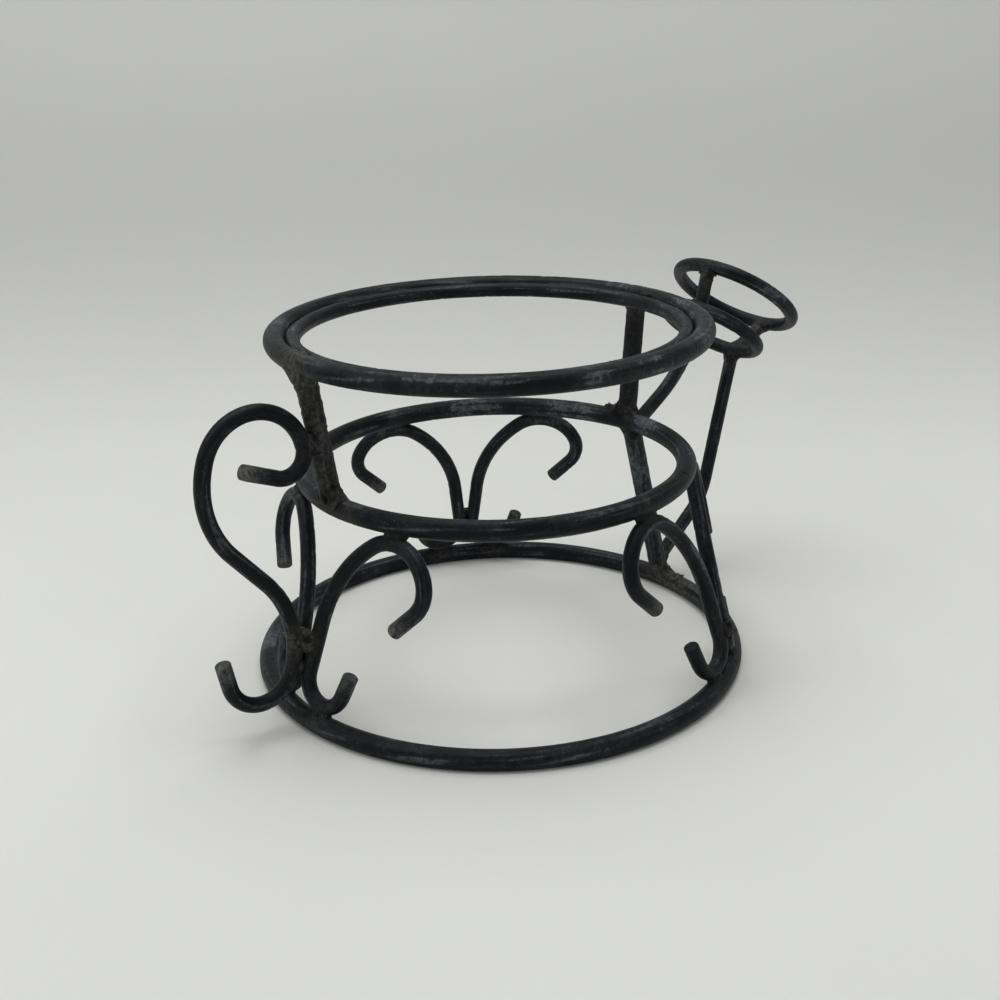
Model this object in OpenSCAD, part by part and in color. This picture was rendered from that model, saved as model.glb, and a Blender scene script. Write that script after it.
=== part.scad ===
// Small wrought-style plant stand in the shape of a watering can, made of bent round rod.
// Origin: centre of the base ring, on the floor. +X points to the spout, +Z up, millimetres.

/* [Rod] */
// Diameter of the heavy rod: base, middle and outer rim rings and the uprights
rod_d = 6.35; // [5:0.05:7.5]
// Diameter of the light rod: inner rim ring, scrolls, handle and spout
wire_d = 4.76; // [3.5:0.01:5.5]
// Gap that the weld bridges where two rods meet
weld_gap = 0.15; // [0.1:0.05:0.3]
// Diameter of a weld bead on a heavy rod laid beside another rod
bead_d = 7; // [6.6:0.1:7.6]
// Diameter of a weld bead between two light rods
light_bead_d = 6.4; // [6:0.1:7]
// How far a fillet weld spreads round a rod that ends on another
fillet_foot = 1.2; // [0.8:0.1:1.6]
// How far a fillet weld climbs up the rod that ends
fillet_rise = 2.6; // [1.5:0.1:4]

/* [Rings] */
// Radius of the base ring, to the middle of its rod
base_ring_r = 76; // [70:0.1:84]
// Depth of the rest flat worn under the base ring
rest_flat = 0.4; // [0.2:0.05:0.6]
// Radius of the middle ring that carries the pot
mid_ring_r = 59.8; // [55:0.1:64]
// Height of the middle ring's rod above the floor
mid_ring_h = 65.3; // [62:0.1:72]
// Radius of the outer rim ring
rim_ring_r = 65.2; // [62:0.1:70]
// Height of the outer rim ring's rod above the floor
rim_ring_h = 108.2; // [104:0.1:118]
// How much lower the inner rim ring lies than the outer one
rim_inner_drop = 0.7; // [0:0.1:1]
// How far the rim sits off the stand's axis
rim_shift = 1; // [0:0.1:2]
// Direction in which the rim sits off the axis
rim_shift_az = 154; // [0:1:359]
// Directions of the tacks between the two rim rings
rim_tack_az = [354, 84, 172, 262]; // [0:1:359]
// Diameter of the round bead that fills the groove at a tack
rim_tack_d = 3.4; // [3:0.1:4]
// Length of a tack along the groove, in degrees
rim_tack_arc = 5; // [3:0.5:9]

/* [Uprights] */
// Direction of the upright on the handle side
handle_upright_az = 176.9; // [174:0.1:179]
// Direction of the upright above the middle ring on the spout side
spout_upright_az = 0.9; // [0:0.1:4]
// Direction of the upright below the middle ring on the spout side
spout_leg_az = -1; // [-1:0.1:1]

/* [Leg scrolls] */
// Direction of the middle of the pair of leg scrolls on the handle side
pair_handle_az = 177.4; // [175:0.1:179]
// Direction of the middle of the front pair
pair_front_az = -62; // [-68:0.1:-56]
// Direction of the middle of the back pair
pair_back_az = 59.4; // [54:0.1:66]
// Angle from a pair's middle to the top of each arch
arch_spread = 24.6; // [22:0.1:27]
// Straight end of the top hook
leg_tip = 9.4; // [5:0.1:12]
// Radius of the top hook
leg_hook_r = 8.8; // [7:0.05:12]
// Turn of the top hook
leg_hook_turn = 66.9; // [40:0.1:90]
// Radius of the arch
leg_arch_r = 13.4; // [11:0.05:15]
// Turn of the arch on its hook side, past the top
leg_arch_out = 68.3; // [50:0.1:80]
// Turn of the arch on its stem side, before the top
leg_arch_in = 35.7; // [25:0.1:45]
// Radius of the flank between arch and stem
leg_flank_r = 40.8; // [34:0.1:48]
// Slope of the straight stem
leg_stem_slope = 80.5; // [76:0.1:85]
// Radius of the foot
leg_foot_r = 7.4; // [6:0.05:9]
// Turn of the foot past its lowest point
leg_foot_turn = 70.6; // [40:0.1:90]
// Straight end of the foot
leg_foot_tip = 7.4; // [4:0.1:12]
// How far the arch sits outward under the middle ring, round its rod
arch_seat = 25.8; // [15:0.1:40]
// How far the foot sits inward on top of the base ring, round its rod
foot_seat = 15; // [0:0.1:20]

/* [Handle] */
// Height at which the handle's curl meets the upright
handle_h = 85.6; // [84:0.1:92]
// Straight end of the curl at the top of the handle
handle_tip = 11.8; // [6:0.1:14]
// Radius of the curl against the upright
handle_curl_r = 6.56; // [5:0.02:8]
// Turn of the curl
handle_curl_turn = 119.5; // [100:0.1:130]
// Radius of the loop over the hand
handle_loop_r = 15.58; // [13:0.02:18]
// Turn of the loop
handle_loop_turn = 151.2; // [140:0.1:160]
// Radius of the handle's back
handle_back_r = 29.5; // [25:0.02:34]
// Turn of the back
handle_back_turn = 61.8; // [50:0.1:70]
// Straight run between back and belly
handle_run = 14.6; // [8:0.05:18]
// Radius of the belly that leans on the leg scrolls
handle_belly_r = 30.8; // [26:0.1:36]
// Turn of the belly
handle_belly_turn = 59.2; // [50:0.1:70]
// Radius of the curl at the bottom of the handle
handle_heel_r = 10.4; // [8:0.1:12]
// Turn of the bottom curl
handle_heel_turn = 150.5; // [120:0.1:160]
// Straight end of the bottom curl
handle_heel_tip = 8.3; // [4:0.1:12]
// Height at which the belly leans on the leg scrolls
handle_belly_h = 19.6; // [17:0.1:24]
// Height of the weld bead above that, in the groove between the scrolls
handle_bead_h = 24.1; // [22:0.1:28]

/* [Spout] */
// Distance from the stand's axis to the middle of the large spout ring
spout_reach = 115.6; // [110:0.1:122]
// Height of the middle of the large spout ring
spout_h = 100.1; // [97:0.1:106]
// Elevation of the line that the spout rings face along
spout_tilt = 52.5; // [48:0.5:58]
// Radius of the large spout ring
spout_large_r = 21.7; // [19:0.1:24]
// Radius of the small spout ring
spout_small_r = 17.3; // [15:0.1:19]
// Distance between the two spout rings along the line they face
spout_ring_step = 15.5; // [13:0.1:18]
// Direction of the spout rings
spout_az = 0.7; // [0:0.1:1.6]
// Direction of the upper spout rod
spout_top_az = -0.4; // [-1:0.1:1]
// Slope of the upper spout rod at the middle ring
spout_top_start = 33; // [30:0.5:38]
// Slope of the upper spout rod at the large ring
spout_top_end = 75; // [68:0.2:78]
// Radius of the bend in the upper spout rod
spout_top_bend = 48; // [46:1:80]
// Direction of the lower spout rod
spout_low_az = 1.3; // [0.6:0.1:2]
// Slope of the lower spout rod at its foot
spout_low_start = 37.8; // [30:0.2:40]
// Slope of the lower spout rod at the small ring
spout_low_end = 74; // [72:0.2:80]
// Radius of the bend in the lower spout rod
spout_low_bend = 23.4; // [15:0.2:30]
// How far up the lower upright the lower spout rod's foot sits
spout_foot_up = 4.8; // [4:0.1:8]

/* [Hidden] */
$fn = 128;

black_iron = "#2b2f33";
worn_iron = "#3a3e40";
weld_metal = "#4a453f";

// A bent rod is built from lengths that meet inside a ball a hair wider than the rod.
joint_inset = 0.15;
joint_swell = 0.05;

// Extra room where one rod crosses two others that don't match exactly
ease = 0.3;

// How far the handle stands towards the right-hand scroll of its pair, in degrees
handle_shift_az = 0.3;

// A fillet weld starts this deep in the rod that carries it and ends this thick.
fillet_sink = 0.6;
fillet_lip = 0.05;

// How each arch was set by hand, in degrees off the common spread
spread_handle_left = -0.3;
spread_handle_right = 0.4;
spread_front_left = -0.2;
spread_front_right = -0.3;
spread_back_left = -0.3;
spread_back_right = 1.1;

base_ring_z = rod_d / 2 - rest_flat;
rim_inner_r = rim_ring_r - rod_d / 2 - wire_d / 2 - weld_gap;
rim_inner_h = rim_ring_h - rim_inner_drop;
rim_centre = rim_shift * heading(rim_shift_az);

// Distances between the middles of rods that touch: heavy on light, light on light, end on side
heavy_light = (rod_d + wire_d) / 2 + weld_gap;
light_light = wire_d + weld_gap;
end_on_heavy = rod_d / 2 + weld_gap;
end_on_light = wire_d / 2 + weld_gap;

// ---------- geometry helpers ----------

function heading(a) = [cos(a), sin(a)];
function arc_degrees(length, r) = length / r * 180 / PI;
function bearing(v) = atan2(v[1], v[0]);

// Reach from the axis, along a direction, of a ring whose centre is off the axis.
function ring_reach(centre, r, az) =
    let (along = centre * heading(az), across = centre * heading(az + 90))
    along + sqrt(r * r - across * across);

// A path is a list of [0, length] for a straight and [radius, turn] for a bend, left positive.
// A place is [x, y, heading]; step_along moves it over one piece of a path.
function step_along(at, piece) =
    piece[0] == 0
    ? [at[0] + piece[1] * cos(at[2]), at[1] + piece[1] * sin(at[2]), at[2]]
    : let (r = sign(piece[1]) * piece[0], a = at[2] + piece[1])
      [at[0] + r * (sin(a) - sin(at[2])), at[1] - r * (cos(a) - cos(at[2])), a];
function walk(path, at, count, i = 0) =
    i == count ? at : walk(path, step_along(at, path[i]), count, i + 1);
function bend_centre(at, piece) =
    [at[0] - sign(piece[1]) * piece[0] * sin(at[2]), at[1] + sign(piece[1]) * piece[0] * cos(at[2])];

// The two straight lengths of a rod with one bend that runs from p to q.
function bent_lengths(p, q, start, end, r) =
    let (
        chord = [r * (sin(end) - sin(start)), r * (cos(start) - cos(end))],
        w = q - p - chord,
        area = sin(end - start)
    )
    [(w[0] * sin(end) - w[1] * cos(end)) / area, (w[1] * cos(start) - w[0] * sin(start)) / area];

// Draws in the upright plane that leaves the axis in direction az: x outward, y up.
module radial_plane(az) {
    rotate([0, 0, az])
        rotate([90, 0, 0])
            children();
}

module ring(r, d) {
    rotate_extrude()
        translate([r, 0])
            circle(d = d);
}

// A straight bar from p to q with its square ends set back by the given gaps.
module bar(p, q, d, gap_p, gap_q) {
    reach = norm(q - p) - gap_p - gap_q;
    translate([p[0], p[1], 0])
        rotate([0, 0, bearing(q - p)])
            translate([gap_p, 0, 0])
                rotate([0, 90, 0])
                    cylinder(d = d, h = reach);
}

// A rod of diameter d along a path, starting at the origin along +X.
module bent_rod(path, d, i = 0) {
    lead = i == 0 ? 0 : joint_inset;
    tail = i == len(path) - 1 ? 0 : joint_inset;
    r = path[i][0];
    amount = path[i][1];
    side = sign(amount);
    if (i > 0)
        sphere(d = d + 2 * joint_swell);
    if (r == 0)
        translate([lead, 0, 0])
            rotate([0, 90, 0])
                cylinder(d = d, h = amount - lead - tail);
    else
        translate([0, side * r, 0])
            rotate([0, 0, side > 0 ? arc_degrees(lead, r) - 90 : 90 + amount + arc_degrees(tail, r)])
                rotate_extrude(angle = abs(amount) - arc_degrees(lead + tail, r))
                    translate([r, 0])
                        circle(d = d);
    if (i < len(path) - 1)
        translate(r == 0 ? [amount, 0, 0] : [0, side * r, 0])
            rotate([0, 0, r == 0 ? 0 : amount])
                translate(r == 0 ? [0, 0, 0] : [0, -side * r, 0])
                    bent_rod(path, d, i + 1);
}

module placed_rod(path, d, at) {
    translate([at[0], at[1], 0])
        rotate([0, 0, at[2]])
            bent_rod(path, d);
}

// ---------- rings ----------

module base_ring_rod() {
    difference() {
        translate([0, 0, base_ring_z])
            ring(base_ring_r, rod_d);
        translate([-base_ring_r - rod_d, -base_ring_r - rod_d, -rod_d])
            cube([2 * (base_ring_r + rod_d), 2 * (base_ring_r + rod_d), rod_d]);
    }
}

module mid_ring_rod() {
    translate([0, 0, mid_ring_h])
        ring(mid_ring_r, rod_d);
}

module rim_outer_rod() {
    translate([rim_centre[0], rim_centre[1], rim_ring_h])
        ring(rim_ring_r, rod_d);
}

module rim_inner_rod() {
    translate([rim_centre[0], rim_centre[1], rim_inner_h])
        ring(rim_inner_r, wire_d);
}

module base_ring() { color(black_iron) base_ring_rod(); }
module mid_ring() { color(black_iron) mid_ring_rod(); }
module rim_ring_outer() { color(black_iron) rim_outer_rod(); }
module rim_ring_inner() { color(black_iron) rim_inner_rod(); }

// ---------- uprights ----------

function base_point() = [base_ring_r, base_ring_z];
function mid_point() = [mid_ring_r, mid_ring_h];
function rim_point(az) = [ring_reach(rim_centre, rim_ring_r, az), rim_ring_h];

module upper_upright(az) {
    radial_plane(az)
        bar(mid_point(), rim_point(az), rod_d, end_on_heavy, end_on_heavy);
}

module lower_upright() {
    radial_plane(spout_leg_az)
        bar(base_point(), mid_point(), rod_d, end_on_heavy, end_on_heavy);
}

module upright_handle_side() { color(worn_iron) upper_upright(handle_upright_az); }
module upright_spout_side() { color(black_iron) upper_upright(spout_upright_az); }
module leg_upright_spout_side() { color(black_iron) lower_upright(); }

// ---------- leg scrolls ----------

foot_in = 180 - leg_stem_slope;
foot_reach = base_ring_r - heavy_light * sin(foot_seat);
foot_z = base_ring_z + heavy_light * cos(foot_seat);
arch_reach = mid_ring_r + heavy_light * sin(arch_seat);
arch_z = mid_ring_h - heavy_light * cos(arch_seat);

// From the foot's lowest point to the arch's top, with no straight stem between them
climb = [[leg_foot_r, -foot_in], [leg_flank_r, leg_arch_in - leg_stem_slope], [leg_arch_r, -leg_arch_in]];
climb_end = walk(climb, [0, 0, 180], len(climb));
stem = heading(leg_stem_slope);

// A scroll lies in a leaning plane through its foot, on the base ring, and its arch's top, under
// the middle ring. This gives [foot azimuth, plane's bearing, lean, stem length] for an arch at
// the angle spread from the pair's middle, and turns the foot until the two feet just touch.
function leg_place(spread, foot_az = 8, tries = 8) =
    let (
        foot = foot_reach * heading(foot_az),
        across = arch_reach * heading(spread) - foot,
        rise = arch_z - foot_z,
        along = climb_end[0] * stem[0] + climb_end[1] * stem[1],
        spare = across * across + rise * rise - climb_end[0] * climb_end[0] - climb_end[1] * climb_end[1],
        stem_length = sqrt(along * along + spare) - along,
        top_x = climb_end[0] + stem_length * stem[0],
        top_y = climb_end[1] + stem_length * stem[1],
        lean = acos(rise / top_y),
        turn = bearing(across) - atan2(top_y * sin(lean), top_x),
        side_gap = foot_reach * sin(foot_az) - leg_foot_r * sin(turn) + leg_foot_r * sin(lean) * cos(turn),
        miss = light_light / 2 - side_gap
    )
    tries == 0
    ? [foot_az, turn, lean, stem_length]
    : leg_place(spread, foot_az + arc_degrees(miss, foot_reach), tries - 1);

function leg_path(stem_length) = [
    [0, leg_foot_tip],
    [leg_foot_r, -leg_foot_turn - foot_in],
    [0, stem_length],
    [leg_flank_r, leg_arch_in - leg_stem_slope],
    [leg_arch_r, -leg_arch_in - leg_arch_out],
    [leg_hook_r, -leg_hook_turn],
    [0, leg_tip]
];

// Where the foot's straight end starts, seen from the foot's lowest point
function foot_start() =
    let (
        entry = leg_foot_turn - 90,
        a = 180 + leg_foot_turn
    )
    [leg_foot_r * cos(entry) - leg_foot_tip * cos(a), leg_foot_r * (1 + sin(entry)) - leg_foot_tip * sin(a), a];

// Puts what is drawn in a scroll's own plane where the scroll stands; side 1 is to the right
// seen from outside, -1 to the left.
module leg_plane(pair_az, side, place) {
    foot = foot_reach * heading(place[0]);
    rotate([0, 0, pair_az])
        mirror([0, side < 0 ? 1 : 0, 0])
            translate([foot[0], foot[1], foot_z])
                rotate([0, 0, place[1]])
                    rotate([90 - place[2], 0, 0])
                        children();
}

module leg_rod(pair_az, side, spread) {
    place = leg_place(arch_spread + spread);
    leg_plane(pair_az, side, place)
        placed_rod(leg_path(place[3]), wire_d, foot_start());
}

module leg_handle_left_rod() { leg_rod(pair_handle_az, -1, spread_handle_left); }
module leg_handle_right_rod() { leg_rod(pair_handle_az, 1, spread_handle_right); }
module leg_front_left_rod() { leg_rod(pair_front_az, -1, spread_front_left); }
module leg_front_right_rod() { leg_rod(pair_front_az, 1, spread_front_right); }
module leg_back_left_rod() { leg_rod(pair_back_az, -1, spread_back_left); }
module leg_back_right_rod() { leg_rod(pair_back_az, 1, spread_back_right); }

module leg_scroll_handle_left() { color(worn_iron) leg_handle_left_rod(); }
module leg_scroll_handle_right() { color(worn_iron) leg_handle_right_rod(); }
module leg_scroll_front_left() { color(black_iron) leg_front_left_rod(); }
module leg_scroll_front_right() { color(black_iron) leg_front_right_rod(); }
module leg_scroll_back_left() { color(black_iron) leg_back_left_rod(); }
module leg_scroll_back_right() { color(black_iron) leg_back_right_rod(); }

// ---------- handle ----------

handle_path = [
    [0, handle_tip],
    [handle_curl_r, handle_curl_turn],
    [handle_loop_r, handle_loop_turn],
    [handle_back_r, handle_back_turn],
    [0, handle_run],
    [handle_belly_r, -handle_belly_turn],
    [handle_heel_r, -handle_heel_turn],
    [0, handle_heel_tip]
];
handle_az = pair_handle_az + handle_shift_az;
handle_start = [0, 0, 0];
curl_centre = bend_centre(walk(handle_path, handle_start, 1), handle_path[1]);
belly_centre = bend_centre(walk(handle_path, handle_start, 5), handle_path[5]);

// A rod in the pair's middle plane that nests in the groove between the two stems: its reach
// from the axis at height h, where a stem passes at the distance of two touching light rods.
function groove_reach(h) =
    let (
        place = leg_place(arch_spread + (spread_handle_left + spread_handle_right) / 2),
        foot = foot_reach * heading(place[0]),
        low = walk(climb, [0, 0, 180], 1),
        u = heading(place[1]),
        v = [-u[1] * sin(place[2]), u[0] * sin(place[2]), cos(place[2])],
        origin = [foot[0] + low[0] * u[0] + low[1] * v[0],
                  foot[1] + low[0] * u[1] + low[1] * v[1],
                  foot_z + low[1] * v[2]],
        run = [stem[0] * u[0] + stem[1] * v[0], stem[0] * u[1] + stem[1] * v[1], stem[1] * v[2]],
        t = h - origin[2],
        // distance^2 = a x^2 + 2 b x + c, for a rod at [origin x + x, 0, h], must come to nothing
        a = 1 - run[0] * run[0],
        k = -origin[1] * run[1] + t * run[2],
        b = -run[0] * k,
        c = origin[1] * origin[1] + t * t - k * k - (light_light + ease) * (light_light + ease)
    )
    origin[0] + (-b + sqrt(b * b - a * c)) / a;

// The handle is a rigid scroll: its curl rests on the upright and its belly in the groove.
groove_step = 1;
upright_lean = bearing(rim_point(handle_upright_az) - mid_point());
upright_out = heading(upright_lean - 90);
curl_place = mid_point()
    + (handle_h - mid_ring_h) / sin(upright_lean) * heading(upright_lean)
    + (heavy_light + handle_curl_r) * upright_out;
groove_low = [groove_reach(handle_belly_h - groove_step), handle_belly_h - groove_step];
groove_high = [groove_reach(handle_belly_h + groove_step), handle_belly_h + groove_step];
groove_out = bearing(groove_high - groove_low) - 90;
span = norm(belly_centre - curl_centre);
drop = (groove_low - curl_place) * heading(groove_out) + handle_belly_r;
span_bearing = groove_out - acos(drop / span);

// The path is drawn with x inward, so it is turned over to x outward by a mirror.
inward_bearing = 180 - span_bearing;
handle_turn = inward_bearing - bearing(belly_centre - curl_centre);
curl_turned = [
    curl_centre[0] * cos(handle_turn) - curl_centre[1] * sin(handle_turn),
    curl_centre[0] * sin(handle_turn) + curl_centre[1] * cos(handle_turn)
];
handle_place = [-curl_place[0] - curl_turned[0], curl_place[1] - curl_turned[1], handle_turn];

module handle_rod() {
    radial_plane(handle_az)
        mirror([1, 0, 0])
            placed_rod(handle_path, wire_d, handle_place);
}

module handle_scroll() { color(worn_iron) handle_rod(); }

// ---------- spout ----------

// In the spout's plane: facing is the line the rings face, down_out runs across them.
facing = heading(spout_tilt);
down_out = heading(spout_tilt - 90);
large_centre = [spout_reach, spout_h];
large_high = large_centre - spout_large_r * down_out;
large_low = large_centre + spout_large_r * down_out;

top_foot = mid_point() + [heavy_light, 0];
top_end = large_high - end_on_light * heading(spout_top_end);
top_lengths = bent_lengths(top_foot, top_end, spout_top_start, spout_top_end, spout_top_bend);
top_path = [[0, top_lengths[0]], [spout_top_bend, spout_top_end - spout_top_start], [0, top_lengths[1]]];

// The small ring's highest point leans on the upper rod, on the side of the stand.
small_plane = large_centre - spout_ring_step * facing;
rod_inner = heading(spout_top_end + 90);
small_slide = (light_light + ease - (small_plane - top_end) * rod_inner) / (down_out * rod_inner);
small_high = small_plane + small_slide * down_out;
small_centre = small_high + spout_small_r * down_out;
small_low = small_high + 2 * spout_small_r * down_out;

// The lower rod's foot ends against the outer side of the lower upright.
leg_rise = bearing(mid_point() - base_point());
leg_out = leg_rise - 90;
low_foot = base_point() + spout_foot_up * heading(leg_rise)
    + (end_on_heavy + wire_d / 2 * abs(sin(spout_low_start - leg_out))) * heading(leg_out);
low_end = small_low - end_on_light * heading(spout_low_end);
low_lengths = bent_lengths(low_foot, low_end, spout_low_start, spout_low_end, spout_low_bend);
low_path = [[0, low_lengths[0]], [spout_low_bend, spout_low_end - spout_low_start], [0, low_lengths[1]]];

module spout_ring(centre, r) {
    radial_plane(spout_az)
        translate([centre[0], centre[1], 0])
            rotate([0, 90, spout_tilt])
                ring(r, wire_d);
}

module spout_top_rod() {
    radial_plane(spout_top_az)
        placed_rod(top_path, wire_d, [top_foot[0], top_foot[1], spout_top_start]);
}

module spout_low_rod() {
    radial_plane(spout_low_az)
        placed_rod(low_path, wire_d, [low_foot[0], low_foot[1], spout_low_start]);
}

module spout_strut_rod() {
    radial_plane(spout_az)
        bar(small_low, large_low, wire_d, end_on_light, end_on_light);
}

module spout_rod_upper() { color(black_iron) spout_top_rod(); }
module spout_rod_lower() { color(black_iron) spout_low_rod(); }
module spout_ring_large() { color(black_iron) spout_ring(large_centre, spout_large_r); }
module spout_ring_small() { color(black_iron) spout_ring(small_centre, spout_small_r); }
module spout_ring_strut() { color(black_iron) spout_strut_rod(); }

// ---------- welds ----------

module bead(p, d) {
    translate([p[0], p[1], 0])
        sphere(d = d);
}

// A fillet weld round a rod that ends on the side of another rod: p is the middle of the rod it
// ends on, a the direction in which the ending rod leaves.
module end_fillet(p, a, d, host_d) {
    translate([p[0], p[1], 0])
        rotate([0, 0, a])
            rotate([0, 90, 0])
                translate([0, 0, host_d / 2 - fillet_sink])
                    cylinder(d1 = d + 2 * fillet_foot, d2 = d + 2 * fillet_lip, h = fillet_sink + fillet_rise);
}

// Tacks in the groove between the two rim rings: each lies on top, from tack_low over the outer
// ring's middle up to its round back, and follows the groove for a few degrees.
rim_tack_r = rim_ring_r - (rod_d + weld_gap) / 2;
tack_lift = 1.5;
tack_low = 0.2;

module rim_tack_section() {
    difference() {
        translate([rim_tack_r, rim_ring_h + tack_lift])
            circle(d = rim_tack_d);
        translate([rim_ring_r, rim_ring_h])
            circle(d = rod_d);
        translate([rim_inner_r, rim_inner_h])
            circle(d = wire_d);
        translate([rim_inner_r, rim_ring_h - wire_d])
            square([rod_d, wire_d + tack_low]);
    }
}

module welds_rim_rings() {
    color(weld_metal)
        for (az = rim_tack_az)
            translate([rim_centre[0], rim_centre[1], 0])
                rotate([0, 0, az - rim_tack_arc / 2])
                    rotate_extrude(angle = rim_tack_arc)
                        rim_tack_section();
}

module upright_foot_fillet(az) {
    radial_plane(az)
        end_fillet(mid_point(), bearing(rim_point(az) - mid_point()), rod_d, rod_d);
}

module upright_top_fillet(az) {
    radial_plane(az)
        end_fillet(rim_point(az), bearing(mid_point() - rim_point(az)), rod_d, rod_d);
}

module leg_upright_foot_fillet() {
    radial_plane(spout_leg_az)
        end_fillet(base_point(), leg_rise, rod_d, rod_d);
}

module leg_upright_top_fillet() {
    radial_plane(spout_leg_az)
        end_fillet(mid_point(), leg_rise + 180, rod_d, rod_d);
}

module upright_welds(az) {
    difference() {
        upright_foot_fillet(az);
        mid_ring_rod();
        upper_upright(az);
    }
    difference() {
        upright_top_fillet(az);
        rim_outer_rod();
        rim_inner_rod();
        upper_upright(az);
    }
}

module welds_upright_ends() {
    color(weld_metal) {
        upright_welds(handle_upright_az);
        upright_welds(spout_upright_az);
        difference() {
            leg_upright_foot_fillet();
            base_ring_rod();
            lower_upright();
            spout_low_rod();
        }
        difference() {
            leg_upright_top_fillet();
            mid_ring_rod();
            lower_upright();
        }
    }
}

// The bead between an arch's top and the middle ring, less the scroll's rod given as a child
module arch_weld(pair_az, side, spread) {
    bead_reach = mid_ring_r + (rod_d + weld_gap) / 2 * sin(arch_seat);
    bead_z = mid_ring_h - (rod_d + weld_gap) / 2 * cos(arch_seat);
    difference() {
        rotate([0, 0, pair_az + side * (arch_spread + spread)])
            translate([bead_reach, 0, bead_z])
                sphere(d = bead_d);
        mid_ring_rod();
        children();
    }
}

// The bead between a foot and the base ring, less the scroll's rod given as a child
module foot_weld(pair_az, side, spread) {
    place = leg_place(arch_spread + spread);
    bead_reach = base_ring_r - (rod_d + weld_gap) / 2 * sin(foot_seat);
    bead_z = base_ring_z + (rod_d + weld_gap) / 2 * cos(foot_seat);
    difference() {
        rotate([0, 0, pair_az + side * place[0]])
            translate([bead_reach, 0, bead_z])
                sphere(d = bead_d);
        base_ring_rod();
        children();
    }
}

module welds_leg_arches() {
    color(weld_metal) {
        arch_weld(pair_handle_az, -1, spread_handle_left) leg_handle_left_rod();
        arch_weld(pair_handle_az, 1, spread_handle_right) leg_handle_right_rod();
        arch_weld(pair_front_az, -1, spread_front_left) leg_front_left_rod();
        arch_weld(pair_front_az, 1, spread_front_right) leg_front_right_rod();
        arch_weld(pair_back_az, -1, spread_back_left) leg_back_left_rod();
        arch_weld(pair_back_az, 1, spread_back_right) leg_back_right_rod();
    }
}

module welds_leg_feet() {
    color(weld_metal) {
        foot_weld(pair_handle_az, -1, spread_handle_left) leg_handle_left_rod();
        foot_weld(pair_handle_az, 1, spread_handle_right) leg_handle_right_rod();
        foot_weld(pair_front_az, -1, spread_front_left) leg_front_left_rod();
        foot_weld(pair_front_az, 1, spread_front_right) leg_front_right_rod();
        foot_weld(pair_back_az, -1, spread_back_left) leg_back_left_rod();
        foot_weld(pair_back_az, 1, spread_back_right) leg_back_right_rod();
    }
}

// Where the two feet of a pair touch, level with the middle of the foot's bend, less the rods
// given as children
module pair_weld(pair_az, spread) {
    difference() {
        leg_plane(pair_az, 1, leg_place(arch_spread + spread))
            translate([-leg_foot_r - light_light / 2, leg_foot_r, 0])
                sphere(d = light_bead_d);
        children();
    }
}

module welds_leg_pairs() {
    color(weld_metal) {
        pair_weld(pair_handle_az, spread_handle_right) {
            leg_handle_left_rod();
            leg_handle_right_rod();
            handle_rod();
        }
        pair_weld(pair_front_az, spread_front_right) {
            leg_front_left_rod();
            leg_front_right_rod();
        }
        pair_weld(pair_back_az, spread_back_right) {
            leg_back_left_rod();
            leg_back_right_rod();
        }
    }
}

// The curl's bead on the upright, and the bead in the groove between the stems
curl_bead = curl_place - (handle_curl_r + (wire_d + weld_gap) / 2) * upright_out;
belly_bead = [groove_reach(handle_bead_h) - wire_d / 2, handle_bead_h];

module welds_handle() {
    color(weld_metal) {
        difference() {
            radial_plane(handle_az)
                bead(curl_bead, bead_d);
            handle_rod();
            upper_upright(handle_upright_az);
        }
        difference() {
            radial_plane(handle_az)
                bead(belly_bead, bead_d);
            handle_rod();
            leg_handle_left_rod();
            leg_handle_right_rod();
        }
    }
}

module welds_spout_feet() {
    color(weld_metal) {
        difference() {
            radial_plane(spout_top_az)
                bead(mid_point() + [(rod_d + weld_gap) / 2, 0], bead_d);
            spout_top_rod();
            mid_ring_rod();
            upright_foot_fillet(spout_upright_az);
            leg_upright_top_fillet();
        }
        difference() {
            radial_plane(spout_low_az)
                bead(low_foot, light_bead_d);
            spout_low_rod();
            base_ring_rod();
            lower_upright();
            leg_upright_foot_fillet();
        }
    }
}

// One weld on the spout rings: a fillet at p, in direction a, less the ring and the rods given
module spout_fillet(az, p, a) {
    difference() {
        radial_plane(az)
            end_fillet(p, a, wire_d, wire_d);
        children();
    }
}

module welds_spout_rings() {
    strut_rise = bearing(large_low - small_low);
    color(weld_metal) {
        spout_fillet(spout_top_az, large_high, spout_top_end + 180) {
            spout_ring(large_centre, spout_large_r);
            spout_top_rod();
        }
        difference() {
            radial_plane(spout_top_az)
                bead(small_high - light_light / 2 * rod_inner, light_bead_d);
            spout_ring(small_centre, spout_small_r);
            spout_top_rod();
        }
        spout_fillet(spout_low_az, small_low, spout_low_end + 180) {
            spout_ring(small_centre, spout_small_r);
            spout_low_rod();
            spout_strut_rod();
        }
        spout_fillet(spout_az, small_low, strut_rise) {
            spout_ring(small_centre, spout_small_r);
            spout_low_rod();
            spout_strut_rod();
        }
        spout_fillet(spout_az, large_low, strut_rise + 180) {
            spout_ring(large_centre, spout_large_r);
            spout_strut_rod();
        }
    }
}

base_ring();
mid_ring();
rim_ring_outer();
rim_ring_inner();
upright_handle_side();
upright_spout_side();
leg_upright_spout_side();
leg_scroll_handle_left();
leg_scroll_handle_right();
leg_scroll_front_left();
leg_scroll_front_right();
leg_scroll_back_left();
leg_scroll_back_right();
handle_scroll();
spout_rod_upper();
spout_rod_lower();
spout_ring_large();
spout_ring_small();
spout_ring_strut();
welds_rim_rings();
welds_upright_ends();
welds_leg_arches();
welds_leg_feet();
welds_leg_pairs();
welds_handle();
welds_spout_feet();
welds_spout_rings();
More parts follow.
